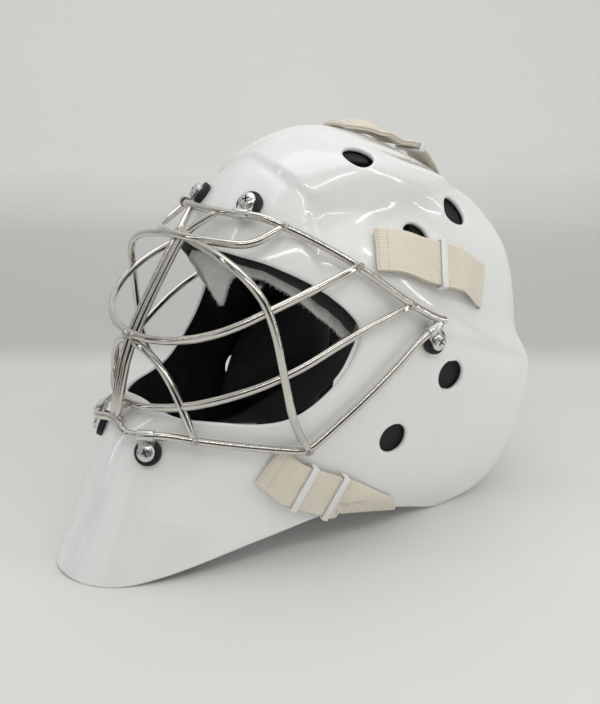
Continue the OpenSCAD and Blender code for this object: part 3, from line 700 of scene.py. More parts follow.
def side_of_loop(loop, u, t):
    """Signed distance to a loop of points in u and t, less than 0 inside it."""
    a = loop
    b = np.roll(loop, -1, axis=0)
    p = np.stack([u, t], axis=-1)[:, None, :]
    d = b - a
    f = np.clip(((p - a) * d).sum(-1) / (d * d).sum(-1), 0, 1)
    near = np.sqrt((((p - a) - f[..., None] * d) ** 2).sum(-1)).min(1)
    ya, yb = a[:, 1][None], b[:, 1][None]
    xa, xb = a[:, 0][None], b[:, 0][None]
    y, x = p[..., 1], p[..., 0]
    crosses = ((ya > y) != (yb > y)) & (x < (xb - xa) * (y - ya) / np.where(yb == ya, 1, yb - ya) + xa)
    inside = crosses.sum(1) % 2 == 1
    return np.where(inside, -near, near)


def strap_slot_frame():
    """The slot's middle and its ways back, up and outwards, from the skin under the strap's edges."""
    middle, back, half = strap_line((5.5, 6.34), (5.46, 5.24), 0)
    up = unit(half)
    return middle, back, up, np.cross(back, up)


def hole_tests():
    """Functions of (u, t) that are less than 0 inside an opening, cut wider by the rim's rounding."""
    s = shell_settings()
    grow = s.rim_round / MM
    loop = port_loop()
    # the port's outline is in u and t, so its distances are turned to mm
    tests = [lambda u, t: side_of_loop(loop, u, t) * MM_PER_UNIT - grow]
    for places, radius in ((VENTS, s.vent / MM / 2 + grow), (SCREWS, SCREW_HOLE)):
        tests += [round_hole(side * u0, t0, radius) for u0, t0 in places for side in SIDES]
    return tests + [slot_hole(side) for side in SIDES]


def round_hole(u0, t0, radius):
    middle, axis = skin(u0, t0), out(u0, t0)

    def test(u, t):
        d = skin(u, t) - middle
        along = (d * axis).sum(-1)
        flat = np.linalg.norm(d - along[..., None] * axis, axis=-1)
        return np.where(np.abs(along) < TEST_DEPTH["hole"], flat - radius, FAR_OFF)
    return test


def slot_hole(side):
    middle, back, up, outwards = strap_slot_frame()
    turn = np.array([side, 1, 1])
    middle, back, up, outwards = middle * turn, back * turn, up * turn, outwards * turn
    straps = strap_settings()
    half = (straps.thickness / MM / 2 + SLOT_ROOM[0], straps.width / MM / 2 + SLOT_ROOM[1])
    centre = straps.thickness / MM / 2 + 0.1

    def test(u, t):
        d = skin(u, t) - middle
        x = np.abs((d * back).sum(-1) - centre) - half[0] + SLOT_CORNER
        y = np.abs((d * up).sum(-1)) - half[1] + SLOT_CORNER
        outside = np.hypot(np.maximum(x, 0), np.maximum(y, 0)) + np.minimum(np.maximum(x, y), 0)
        outside = outside - SLOT_CORNER - SLOT_GROW
        return np.where(np.abs((d * outwards).sum(-1)) < TEST_DEPTH["slot"], outside, FAR_OFF)
    return test


def cut_sheet(bm, places, test):
    """Cuts one opening out of the sheet: its edges are split where they cross the outline, faces are split
    between those points, and what lies inside is taken out. places holds u and t of each vertex."""
    verts = list(bm.verts)
    uv = np.array([(v[places[0]], v[places[1]]) for v in verts])
    value = dict(zip(verts, test(uv[:, 0], uv[:, 1])))
    crossing = [e for e in bm.edges if value[e.verts[0]] * value[e.verts[1]] < 0]
    if not crossing:
        return

    def crossings(edges):
        """Where the outline crosses each edge, as a share of it, and u and t of the edge's ends."""
        a, b = (np.array([(e.verts[k][places[0]], e.verts[k][places[1]]) for e in edges]) for k in (0, 1))
        fa = np.array([value[e.verts[0]] for e in edges])
        low, high = np.zeros(len(edges)), np.ones(len(edges))
        for _ in range(18):
            mid = (low + high) / 2
            at = a + mid[:, None] * (b - a)
            same = np.sign(test(at[:, 0], at[:, 1])) == np.sign(fa)
            low, high = np.where(same, mid, low), np.where(same, high, mid)
        return (low + high) / 2, a, b

    share, a, b = crossings(crossing)
    for e, s, pa, pb in zip(crossing, share, a, b):
        for v, near in ((e.verts[0], s), (e.verts[1], 1 - s)):
            if near < SNAP_SHARE and value[v] != 0 and value[e.verts[0]] * value[e.verts[1]] < 0:
                v[places[0]], v[places[1]] = pa + s * (pb - pa)
                value[v] = 0.0
    crossing = [e for e in bm.edges if value[e.verts[0]] * value[e.verts[1]] < 0]
    share, a, b = crossings(crossing)
    for e, s, pa, pb in zip(crossing, share, a, b):
        _, v = bmesh.utils.edge_split(e, e.verts[0], float(s))
        v[places[0]], v[places[1]] = pa + s * (pb - pa)
        value[v] = 0.0
    for f in list(bm.faces):
        on = [v for v in f.verts if value[v] == 0]
        signs = {np.sign(value[v]) for v in f.verts}
        if -1 in signs and 1 in signs and len(on) >= 2:
            pair = max(((p, q) for p in on for q in on if p != q and not bm.edges.get((p, q))),
                       key=lambda pq: (pq[0].co - pq[1].co).length, default=None)
            if pair:
                bmesh.utils.face_split(f, pair[0], pair[1])
    inside = [f for f in bm.faces if sum(value[v] for v in f.verts) < 0]
    bmesh.ops.delete(bm, geom=inside, context="FACES")


def boundary_frames(bm, normal):
    """For each rim vertex, the way out of the sheet, along its surface."""
    ways = {}
    for e in bm.edges:
        if not e.is_boundary:
            continue
        f = e.link_faces[0]
        a, b = e.verts
        for loop in f.loops:
            if loop.edge == e:
                a, b = loop.vert, loop.link_loop_next.vert
        along = b.co - a.co
        if along.length < 1e-9:
            continue
        for v in (a, b):
            m = along.normalized().cross(Vector(normal[v.index]))
            ways.setdefault(v.index, []).append(m)
    return {i: sum(w, Vector()).normalized() for i, w in ways.items()}


def build_shell():
    s = shell_settings()
    obj, a, b = grid("mask_shell", s.columns, s.rows)
    bm = bmesh.new()
    bm.from_mesh(obj.data)
    places = (bm.verts.layers.float.new("u"), bm.verts.layers.float.new("t"))
    bm.verts.ensure_lookup_table()
    for v, x, y in zip(bm.verts, a, b):
        v[places[0]], v[places[1]] = (2 * x - 1) * 6, y * TOP_ROW

    def place():
        uv = np.array([(v[places[0]], v[places[1]]) for v in bm.verts])
        for v, p in zip(bm.verts, skin(uv[:, 0], uv[:, 1])):
            v.co = p

    place()
    for test in hole_tests():
        cut_sheet(bm, places, test)
        place()
    loose = [v for v in bm.verts if not v.link_faces]
    bmesh.ops.delete(bm, geom=loose, context="VERTS")
    bmesh.ops.remove_doubles(bm, verts=bm.verts, dist=MERGE_DISTANCE)
    bm.verts.index_update()
    bm.verts.ensure_lookup_table()
    uv = np.array([(v[places[0]], v[places[1]]) for v in bm.verts])
    normal = out(uv[:, 0], uv[:, 1])
    ways = boundary_frames(bm, normal)
    wall, grow = s.wall / MM, s.rim_round / MM

    # the inner side, then the rounded rim between the two, ring by ring
    outer = list(bm.verts)
    rim_edges = [e for e in bm.edges if e.is_boundary]
    inner = [bm.verts.new(v.co - wall * Vector(normal[v.index])) for v in outer]
    faces = list(bm.faces)
    for f in faces:
        f.material_index = 0
        bm.faces.new([inner[v.index] for v in reversed(f.verts)]).material_index = 1
    rings = {i: [outer[i]] for i in ways}
    for i, way in ways.items():
        n = Vector(normal[i])
        middle = outer[i].co - wall / 2 * n
        for k in range(1, RIM_STEPS):
            turn = math.pi * k / RIM_STEPS
            co = middle + wall / 2 * math.cos(turn) * n + grow * math.sin(turn) * way
            rings[i].append(bm.verts.new(co))
        rings[i].append(inner[i])
    for e in rim_edges:
        loop = e.link_loops[0]
        p, q = loop.vert.index, loop.link_loop_next.vert.index
        for k in range(RIM_STEPS):
            quad = [rings[q][k], rings[p][k], rings[p][k + 1], rings[q][k + 1]]
            bm.faces.new(quad).material_index = 0 if k < RIM_STEPS - 1 else 1
    for v in bm.verts:
        v.co *= MM
        v.co.z = max(v.co.z, 0)
    for f in bm.faces:
        f.smooth = True
    bm.to_mesh(obj.data)
    bm.free()
    for name in ("u", "t"):
        obj.data.attributes.remove(obj.data.attributes[name])
    smooth(obj, 40)
    dress(obj, "white_laminate", "mask", material("gel_coat"), material("lining"), nodes=["shell"])


# The cage

WIRE_NODES = ("cage_frame", "centre_bars", "upper_bar", "lower_bar", "eye_wires", "cheek_wires",
              "visor_loop")
# the share of its radius by which an eight-sided wire grows, because subdividing draws it in
DRAW_IN = 0.15
# the frame wire's height over the skin, in mm
FRAME_LIFT = 7.5
# how lumpy the weld beads are and how much longer than wide, as shares of their size
LUMPS = 0.16
DRAWN_OUT = 0.35


def build_wires():
    radius = cage_settings().wire / 2
    for node in WIRE_NODES:
        obj = copy_of(node, "cage_" + node.removeprefix("cage_"))
        in_edit(obj, (bpy.ops.mesh.tris_convert_to_quads, {"face_threshold": math.radians(60),
                                                          "shape_threshold": math.radians(80)}),
                (bpy.ops.transform.shrink_fatten, {"value": radius * DRAW_IN}))
        apply(obj, "SUBSURF", levels=2, render_levels=2)
        smooth(obj, 60)
        dress(obj, "chromed_wire", "mask", material("wire"), nodes=[node])


def frame_at(u, t):
    return above(u, t, FRAME_LIFT)


def weld_places():
    """Where wires meet on the left side, and the way along each joint."""
    across, back = (1, 0, 0), (0, 1, 0)
    welds = [(frame_at(3.57, 6.2), back), (frame_at(4.49, 5.27), back), (frame_at(2, 7.35), (1, 0.5, 0)),
             (frame_at(0.52, 7.58), across), (real(4, -74, 218), across), (real(3.5, -117, 155.5), across),
             (real(3.5, -126, 110), across), (above(0.1, 3.24, 5), across), (frame_at(3.52, 2.5), back),
             (frame_at(1.97, 3.07), across)]
    return [(p, unit(np.array(w, float))) for p, w in welds]


def build_welds():
    """Lumpy beads, drawn out along their joints."""
    bead = cage_settings().bead
    parts = []
    for k, (p, along) in enumerate(weld_places()):
        bpy.ops.object.select_all(action="DESELECT")
        bpy.ops.mesh.primitive_ico_sphere_add(subdivisions=4, radius=bead)
        obj = bpy.context.object
        co = points_of(obj)
        lump = np.array([1 + LUMPS * noise(Vector(c) * 700 + Vector((k, 0, 0))) for c in co])
        co = co * lump[:, None]
        co = co + DRAWN_OUT * (co @ along)[:, None] * along
        move_points(obj, co + p * MM)
        other = mirrored(obj, f"weld_{k}_right")
        parts += [obj, other]
    obj = join("cage_welds", parts)
    smooth(obj, 60)
    dress(obj, "chromed_wire", "mask", material("weld"))


# Clips, washers, screws and nuts

# how far the crossed recess reaches from a screw's axis, and how high over the skin it is, in mm
RECESS_REACH = 2.6
HEAD_HEIGHT = 4


def paint_recess_shade(obj):
    """Paints shade into the crossed recess in each screw's head, using the nuts' dark material."""
    obj.data.materials.append(material("nut"))
    places = [(skin(side * u0, t0), out(side * u0, t0)) for u0, t0 in SCREWS for side in SIDES]
    for p in obj.data.polygons:
        centre, normal = np.array(p.center) / MM, np.array(p.normal)
        middle, axis = min(places, key=lambda place: np.linalg.norm(centre - place[0]))
        height = np.dot(centre - middle, axis)
        off_axis = np.linalg.norm(centre - middle - height * axis)
        # its walls lie along the axis and its floor square to it, and the head's dome does neither
        facing = abs(np.dot(normal, axis))
        if height > HEAD_HEIGHT and off_axis < RECESS_REACH and (facing < 0.6 or facing > 0.9995):
            # painted shade on the recess's walls and floor
            p.material_index = 1


def build_clips():
    for name, node, finish, slot, round_by, sharper_than in (
            ("cage_clips", "clips", "clip", "bright_steel", 0.35, 30),
            ("clip_rubber_washers", "clip_washers", "rubber", "black_rubber", 0.7, 40),
            ("clip_screw_heads", "clip_screws", "clip", "bright_steel", 0.18, 30),
            ("clip_back_nuts", "clip_nuts", "nut", "black_nut", 0.3, 40)):
        obj = copy_of(node, name)
        flats_merged(obj)
        bevelled(obj, round_by, 3, sharper_than)
        smooth(obj, 32)
        dress(obj, slot, "mask", material(finish), nodes=[node])
        if name == "clip_screw_heads":
            # painted shade in the screws' recesses
            paint_recess_shade(obj)


# The foam liners and the sweatband

def edge_drop(a, least=0.45):
    """How much of its thickness a liner keeps at a share of its width."""
    return least + (1 - least) * np.maximum(0, np.sin(np.pi * a)) ** 0.35


def port_top(u):
    """How far up the face opening reaches."""
    return np.interp(np.abs(u), *PORT_TOP)


def corners(c, a, b):
    """Points between four corners in u and t: two of the lower edge, then two of the upper."""
    c = np.array(c, float)
    a, b = a[:, None], b[:, None]
    return (1 - b) * ((1 - a) * c[0] + a * c[1]) + b * ((1 - a) * c[2] + a * c[3])


# depths under the skin in mm, of the liners' outer side, of the brow foam's, and of that over the nuts
LINER_AT = 4.9
BROW_AT = 5.4
NUT_DEPTH = 8.4
# the brow foam's thickness
BROW_FOAM = 9
# the felt starts this much inside the brow foam
BAND_AT = BROW_AT + BROW_FOAM + 0.3
# the flap in the middle of the felt: its width and drop in u and t, and how far its tip swings in
FLAP_WIDTH = 0.62
FLAP_DROP = 0.78
FLAP_SWING = 20
# the corners of the side pads in u and t
TEMPLE_FOAM = [(4.45, 5), (5.4, 4.9), (4.3, 7.2), (5.35, 7.1)]
JAW_FOAM = [(4.3, 1.1), (5.8, 0.85), (5.05, 3.9), (5.85, 4)]
REAR_FOAM = [(4.5, 7.45), (5.75, 7.35), (4.3, 8.75), (5.7, 8.7)]


def nut_room(p, h):
    """Presses the foam's outer side in over the nuts."""
    for u0, t0 in SCREWS:
        for side in SIDES:
            axis, middle = out(side * u0, t0), skin(side * u0, t0)
            d = p - middle
            flat = np.linalg.norm(d - (d * axis).sum(-1)[:, None] * axis, axis=-1)
            h = h + np.maximum(0, NUT_DEPTH - h) * (1 - ease((flat - 7) / 4))
    return h


def liner(name, area, at, foam, across, up, soft=1.2, nuts=False, wave=0.0):
    """A pad on the shell's inner side, from a depth in mm, with rounded edges, and with room for
    the nuts or a wavy face where asked. area(a, b) gives its u, its t and how far it swings in."""
    def place(a, b, side):
        u, t, swing = area(a, b).T
        h = at + swing
        if nuts and side == 0:
            h = nut_room(skin(u, t), h)
        if side == 1:
            h = h + foam * edge_drop(a) * edge_drop(b)
            h = h + wave * np.sin(a * 40) * np.sin(b * 9)
        return above(u, t, -h)
    obj = slab(name, across, up, place)
    bevelled(obj, soft, 3, 50)
    apply(obj, "SUBSURF", levels=1, render_levels=1)
    smooth(obj, 60)
    return obj


def brow_area(a, b):
    u = (2 * a - 1) * 3.95
    low = port_top(u) - 0.15
    return np.stack([u, low + b * (8.6 - low), np.zeros(len(a))], axis=-1)


def band_area(a, b):
    """The sweatband with its flap in the middle, whose tip swings in."""
    u = (2 * a - 1) * 4.1
    top = port_top(u)
    flap = np.exp(-(u / FLAP_WIDTH) ** 2)
    low = top - 0.3 - FLAP_DROP * flap
    return np.stack([u, low + b * (top + 0.25 - low), FLAP_SWING * flap * (1 - b) ** 2], axis=-1)


def crown_area(a, b):
    return np.stack([(2 * a - 1) * (3.2 - 1.2 * b), 9.15 + 2.2 * b, np.zeros(len(a))], axis=-1)


def corner_area(c):
    return lambda a, b: np.column_stack([corners(c, a, b), np.zeros(len(a))])


def build_pads():
    finish = material("foam")
    brow = liner("brow_foam", brow_area, BROW_AT, BROW_FOAM, 96, 24, nuts=True)
    dress(brow, "black_foam", "mask", finish, nodes=["brow_pad"])
    # the foam behind the rear vents stands for no node
    for name, c, foam, across, up, nodes in (("temple_foam", TEMPLE_FOAM, 13, 20, 28, ["temple_pads"]),
                                             ("jaw_foam", JAW_FOAM, 12, 32, 40, ["jaw_pads"]),
                                             ("rear_foam", REAR_FOAM, 7, 20, 20, [])):
        left = liner(name + "_left", corner_area(c), LINER_AT, foam, across, up)
        right = mirrored(left, name + "_right")
        for pad in (left, right):
            dress(pad, "black_foam", "mask", finish, nodes=nodes)
    crown = liner("crown_foam", crown_area, LINER_AT, 10, 36, 28)
    dress(crown, "black_foam", "mask", finish, nodes=["crown_pad"])


def build_sweatband():
    band = liner("felt_sweatband", band_area, BAND_AT, 4, 150, 20, soft=0.8, wave=0.12)
    dress(band, "grey_felt", "mask", material("felt"), nodes=["sweatband"])
    pile = build_fibres("felt_fibres", pad_settings().fibres)
    dress(pile, "grey_felt", "mask", material("felt"))


def build_fibres(name, count):
    """Loose fibres of the felt: bent, pointed and closed, thickest along the ragged lower edge."""
    rng = np.random.default_rng(7)
    a = rng.random(count)
    # more of them on the flap in the middle
    a = np.where(rng.random(count) < 0.45, 0.5 + 0.16 * (a - 0.5) * 2, a)
    edge = rng.random(count) < 0.6
    b = np.where(edge, 0.03 * rng.random(count), rng.random(count) ** 1.6 * 0.8)
    q = band_area(a, b)
    depth = BAND_AT + q[:, 2] + np.where(edge, 1.9 * rng.random(count), 0.0)
    root = above(q[:, 0], q[:, 1], -depth)
    n = out(q[:, 0], q[:, 1])
    down = np.array([0.0, 0.12, -1.0])
    loose = rng.normal(size=(count, 3))
    # at the edge they hang, and on the face they stand up
    way = unit(np.where(edge[:, None], down * 1.3 + 0.25 * n, 0.5 * down + 0.8 * n) + 0.42 * loose)
    long = np.where(edge, 1.0 + 1.9 * rng.random(count) ** 2, 0.5 + 0.7 * rng.random(count))
    across = unit(np.cross(way, loose + (0.3, 0.1, 0.2)))
    deep = np.cross(way, across)
    bent = 0.25 * long[:, None] * unit(rng.normal(size=(count, 3)))
    rings = []
    # a triangle at the root and one past the middle, then the tip
    for share, wide in ((0.0, 0.09), (0.55, 0.07)):
        middle = root + share * long[:, None] * way + share * bent
        for turn in (0.0, 2.094, 4.189):
            rings.append(middle + wide * (math.cos(turn) * across + math.sin(turn) * deep))
    rings.append(root + long[:, None] * way + 1.6 * bent)
    points = np.stack(rings, axis=1).reshape(-1, 3) * MM
    shape = [(2, 1, 0), (0, 1, 4, 3), (1, 2, 5, 4), (2, 0, 3, 5), (3, 4, 6), (4, 5, 6), (5, 3, 6)]
    faces = [tuple(7 * i + k for k in f) for i in range(count) for f in shape]
    mesh = bpy.data.meshes.new(name)
    mesh.from_pydata(points.tolist(), [], faces)
    obj = bpy.data.objects.new(name, mesh)
    bpy.context.scene.collection.objects.link(obj)
    outward(obj)
    return obj


# The straps. A route is a list of corners as in the part's source, each the middle of the strap's
# inner face, how far off the corner its rounding starts, and half the strap's width

# sizes of a slide in mm, and how high a strap lies over the skin by itself and inside a slide
SLIDE_BAR = 1.4
SLIDE_CLEARANCE = 0.5
STRAP_REST = 0.7
SLIDE_LIFT = SLIDE_BAR + SLIDE_CLEARANCE + STRAP_REST
# how far the free end of each fold stands off the layer under it, in mm
LOOSE_END = {"top": 0.3, "side": 2.2, "chin": 0.5}
# the length over which it does, short of where the slide comes to
LOOSE_RUN = 3.8
# the elastic's mesh, along it in mm and across
CELL_LENGTH = 0.9
CELLS_TO_A_RIB = 6
# how far the rows of stitches are from the hem's end in mm, and how many stitches a row has
HEM_ROWS = (2.2, 8.4)
STITCHES = 18
# half the length and width of a stitch, in mm
STITCH = (0.62, 0.2)


def half_width():
    """Half the width of the side and chin straps, in mm."""
    return strap_settings().width / MM / 2


def strap_seat(u, t, turn, h):
    """A strap's middle over the skin, its way along, and half its width."""
    y = way_back(u, t, turn)
    return above(u, t, h), y, half_width() * np.cross(out(u, t), y)


def strap_line(a, b, h):
    """The same, for a strap whose edges lie over the places a and b."""
    p, q = above(a[0], a[1], h), above(b[0], b[1], h)
    w = unit(p - q)
    return (p + q) / 2, np.cross(w, unit(out(*a) + out(*b))), half_width() * w


def along(place, d):
    return place[0] + d * place[1]


def side_route():
    hem = strap_line((3.68, 7.4), (3.93, 6.07), 2.4)
    bend = strap_line((4.18, 7.3), (4.31, 5.95), 5)
    slide = strap_line((4.77, 6.86), (4.84, 5.54), SLIDE_LIFT + 2.4)
    middle, back, up, outwards = strap_slot_frame()
    half = up * strap_settings().width / MM / 2
    # it ends this far inside the shell
    end = shell_settings().wall / MM + 4

    def at_slot(d, h):
        return middle + d * back + h * outwards
    return [(hem[0], 0, hem[2]), (bend[0], 12, bend[2]), (along(slide, -10), 4, slide[2]),
            (along(slide, 18), 0, slide[2]), (along(slide, 18.3), 0, slide[2]),
            (along(slide, 23), 4, slide[2]), (at_slot(-6, 2.4), 4, half), (at_slot(0, 1.8), 2.5, half),
            (at_slot(0, -end), 0, half)]


def chin_route():
    w = strap_settings().width / MM / 31
    middle = strap_seat(3.76, 0.98, -30, SLIDE_LIFT + 0.8)
    hem = strap_seat(3, 2.2, -40, STRAP_REST)
    rim = skin(4.55, 0)
    rim_half = (skin(5.05, 0) - skin(4.05, 0)) / 2 * w
    rim_out = out(4.55, 0.1)
    down = unit(rim - skin(4.55, 0.2))
    wall = shell_settings().wall / MM
    return [(hem[0], 0, hem[2]), (along(middle, -25), 5, middle[2]), (along(middle, 17), 0, middle[2]),
            (along(middle, 17.3), 0, middle[2]), (along(middle, 22), 4, middle[2]),
            (above(4.45, 0.4, 3.2), 3, rim_half), (rim + 1.4 * rim_out + 1.6 * down, 1.2, rim_half),
            (rim - (wall + 1.4) * rim_out + 1.6 * down, 1.2, rim_half),
            (above(4.55, 0.35, -wall - 1.4), 0, rim_half)]


def top_route():
    half = np.array([-strap_settings().top_width / MM / 2, 0, 0])
    slide = strap_seat(0, 11.6, 90, 8)
    hem = strap_seat(0, 10.47, 90, 0.6)
    bend = strap_seat(0, 10.85, 90, 8)
    valley = strap_seat(0, 11.4, 90, 3.6)
    rear = skin(0, 12)
    return [(hem[0], 0, half), (bend[0], 12, half), (valley[0], 7, half), (along(slide, -3), 3, half),
            (along(slide, 9), 0, half), (along(slide, 9.3), 0, half), (along(slide, 13), 4, half),
            (rear + (0, -1, 4), 4, half), (rear + (0, 4.5, -4), 0, half)]


def strap_path(route, spacing=1.6):
    """The route with its corners drawn round, as evenly spaced places along it with their middles
    and half widths."""
    mids, halves = [route[0][0]], [route[0][2]]
    for before, here, after in zip(route, route[1:], route[2:]):
        middle, cut, half = here
        if cut == 0:
            mids.append(middle)
            halves.append(half)
            continue
        va, vb = before[0] - middle, after[0] - middle
        fa = min(cut / np.linalg.norm(va), 0.49)
        fb = min(cut / np.linalg.norm(vb), 0.49)
        pa, pb = middle + fa * va, middle + fb * vb
        wa, wb = half + fa * (before[2] - half), half + fb * (after[2] - half)
        for f in np.linspace(0, 1, 13):
            mids.append((1 - f) ** 2 * pa + 2 * f * (1 - f) * middle + f * f * pb)
            halves.append((1 - f) ** 2 * wa + 2 * f * (1 - f) * half + f * f * wb)
    mids, halves = np.array(mids + [route[-1][0]], float), np.array(halves + [route[-1][2]], float)
    run = np.concatenate([[0], np.cumsum(np.linalg.norm(np.diff(mids, axis=0), axis=1))])
    keep = np.concatenate([[True], np.diff(run) > 1e-6])
    run, mids, halves = run[keep], mids[keep], halves[keep]
    at = np.linspace(0, run[-1], max(8, int(run[-1] / spacing)))
    return at, each_axis(at, run, mids), each_axis(at, run, halves)


def each_axis(at, run, points):
    """The points that go with each place of run, read off at other places."""
    return np.stack([np.interp(at, run, points[:, k]) for k in range(3)], axis=-1)


def facings(path):
    """The ways along a path and out of it, at each of its places."""
    ways = unit(np.gradient(path[1], axis=0))
    return ways, unit(np.cross(ways, path[2]))


def fold_end(route, path):
    """How far along its path a strap's folded layer ends: at the route's third sharp corner."""
    corner = [middle for middle, cut, _ in route if cut == 0][2]
    return path[0][np.argmin(np.linalg.norm(path[1] - corner, axis=1))]


def no_sag(d, b):
    return np.zeros(len(d))


def top_sag(d, b):
    """How far the crown strap's edges sink to the shell, and its middle stands up before the slide."""
    hump = np.sin(np.pi * np.clip(d / 52, 0, 1))
    free = 1 - ease((d - 36) / 14)
    return free * (0.8 * hump - (1.0 + 4.4 * hump) * (2 * b - 1) ** 2)


def side_sag(d, b):
    """The side strap bows a little between its hem and its slide."""
    free = ease(d / 14) * (1 - ease((d - 34) / 10))
    return free * (0.5 * np.sin(d / 9) - 0.5 * (2 * b - 1) ** 2)


def ribbon(name, path, low, high, stop=None, sag=no_sag, fold=0.0, loose=0.0):
    """One layer of elastic between two heights above the route's inner face, ribbed along its length.
    fold is how far the hem's end is drawn up or down to meet the other layer, and loose how far the
    other end stands off."""
    s = strap_settings()
    at, mids, halves = path
    ups = facings(path)[1]
    stop = at[-1] if stop is None else stop
    thick = high - low
    depth = s.rib_depth / MM

    def place(a, b, side):
        d = a * stop
        mid, half, up = (each_axis(d, at, values) for values in (mids, halves, ups))
        rib = depth * 0.5 * (1 - np.cos(2 * np.pi * s.ribs * b))
        rounded = 1 - 0.55 * np.exp(-np.minimum(b, 1 - b) / 0.012)
        near_end = np.clip(1 - d / 1.5, 0, 1) if fold else np.zeros(len(d))
        turned = 1 - np.sqrt(1 - near_end ** 2)
        half_thick = (thick / 2 - depth + rib) * rounded
        height = (low + high) / 2 + (half_thick if side == 0 else -half_thick) * (1 - 0.5 * turned)
        height = height + fold * turned + sag(d, b) + loose * ease((d - stop + LOOSE_RUN) / LOOSE_RUN)
        edge_wave = 0.18 * np.sin(d * 1.9) * (2 * b - 1) ** 8
        across = (2 * b - 1) * (1 + edge_wave / 15)
        return mid + across[:, None] * half + height[:, None] * unit(up)
    obj = slab(name, max(6, int(stop / CELL_LENGTH)), s.ribs * CELLS_TO_A_RIB, place)
    scale_uv(obj, stop / 100)
    smooth(obj, 50)
    return obj


def scale_uv(obj, length):
    """Stretches the UV along the strap to decimetres."""
    layer = obj.data.uv_layers[0].data
    uv = np.empty(len(layer) * 2)
    layer.foreach_get("uv", uv)
    uv = uv.reshape(-1, 2) * (length, 1)
    layer.foreach_set("uv", uv.ravel())


def stitch_rows(name, path, height, sag):
    """Rows of short stitches over a hem, one small capsule for each, leaning to and fro."""
    at, mids, halves = path
    ways, ups = facings(path)
    long, wide = STITCH
    parts = []
    for d in HEM_ROWS:
        k = int(np.argmin(np.abs(at - d)))
        for i in range(STITCHES):
            b = (i + 0.5) / STITCHES
            lift = height + sag(np.array([at[k]]), np.array([0.03 + 0.94 * b]))[0]
            middle = mids[k] + (2 * b - 1) * 0.94 * halves[k] + lift * ups[k]
            bpy.ops.object.select_all(action="DESELECT")
            bpy.ops.mesh.primitive_uv_sphere_add(segments=8, ring_count=6, radius=1)
            obj = bpy.context.object
            co = points_of(obj)
            lean = unit(unit(halves[k]) + 0.35 * (1 if i % 2 else -1) * ways[k])
            side = np.cross(ups[k], lean)
            co = co[:, :1] * long * lean + co[:, 1:2] * wide * side + co[:, 2:] * wide * ups[k]
            move_points(obj, (co + middle) * MM)
            parts.append(obj)
    obj = join(name, parts)
    smooth(obj, 60)
    return obj


def build_straps():
    """Each outer strap: the layer on the shell, the one folded back over it, and the hem's stitches."""
    thick = strap_settings().thickness / MM
    for name, route, sag, node in (("top", top_route(), top_sag, "top_strap"),
                                   ("side", side_route(), side_sag, "side_strap_left"),
                                   ("chin", chin_route(), no_sag, "chin_strap_left")):
        path = strap_path(route)
        under = ribbon(name + "_under", path, 0.05, thick - 0.02, sag=sag, fold=0.4 * thick)
        over = ribbon(name + "_over", path, thick + 0.02, 2 * thick - 0.05, stop=fold_end(route, path),
                      sag=sag, fold=-0.4 * thick, loose=LOOSE_END[name])
        ending = "" if name == "top" else "_left"
        strap = join(name + "_elastic" + ending, [under, over])
        stitches = stitch_rows(name + "_stitching" + ending, path, 2 * thick - 0.12, sag)
        pieces = [(strap, "elastic", [node]), (stitches, "thread", [])]
        if ending:
            other_node = node.replace("left", "right")
            pieces += [(mirrored(strap, name + "_elastic_right"), "elastic", [other_node]),
                       (mirrored(stitches, name + "_stitching_right"), "thread", [])]
        for obj, finish, nodes in pieces:
            dress(obj, "cream_elastic", "mask", material(finish), nodes=nodes)


SLIDES = ["top_slide", "side_slide_left", "side_slide_right", "front_slide_left", "front_slide_right",
          "rear_slide_left", "rear_slide_right"]


def build_slides():
    for node in SLIDES:
        obj = copy_of(node, "moulded_" + node)
        flats_merged(obj)
        bevelled(obj, 0.55, 4, 30)
        smooth(obj, 40)
        dress(obj, "white_slide", node, material("slide"), nodes=[node])


# The backplate

PLATE_MID = real(0, 166, 148)
# it is as wide as the shell's rear edge, less this room on each side
PLATE_SIDE_ROOM = 24.0
PLATE_HEIGHT = 150.0
# how far its sides and its ends curve forward
PLATE_DROP = (28.0, 22.0)
# how rounded its outline is: 0 is square, 0.5 an ellipse
PLATE_ROUND = 0.42
PLATE_WALL = 3.2


def plate_width():
    return 2 * (skin(6, 5)[0] - PLATE_SIDE_ROOM)


def plate_out(x, z):
    """The way out of the plate, x across and z up from its middle."""
    return unit(np.stack([8 * PLATE_DROP[0] * x / plate_width() ** 2, np.ones_like(x),
                          8 * PLATE_DROP[1] * z / PLATE_HEIGHT ** 2], axis=-1))


def plate_point(x, z, h):
    """Points at a height over the plate's inner side."""
    x, z = np.asarray(x, float), np.asarray(z, float)
    y = -PLATE_DROP[0] * (2 * x / plate_width()) ** 2 - PLATE_DROP[1] * (2 * z / PLATE_HEIGHT) ** 2
    return PLATE_MID + np.stack([x, y, z], axis=-1) + np.asarray(h, float)[..., None] * plate_out(x, z)


def plate_xz(a, b):
    """A square of -1 to 1 drawn to the plate's outline."""
    return (a * plate_width() / 2 * np.sqrt(1 - PLATE_ROUND * b * b),
            b * PLATE_HEIGHT / 2 * np.sqrt(1 - PLATE_ROUND * a * a))


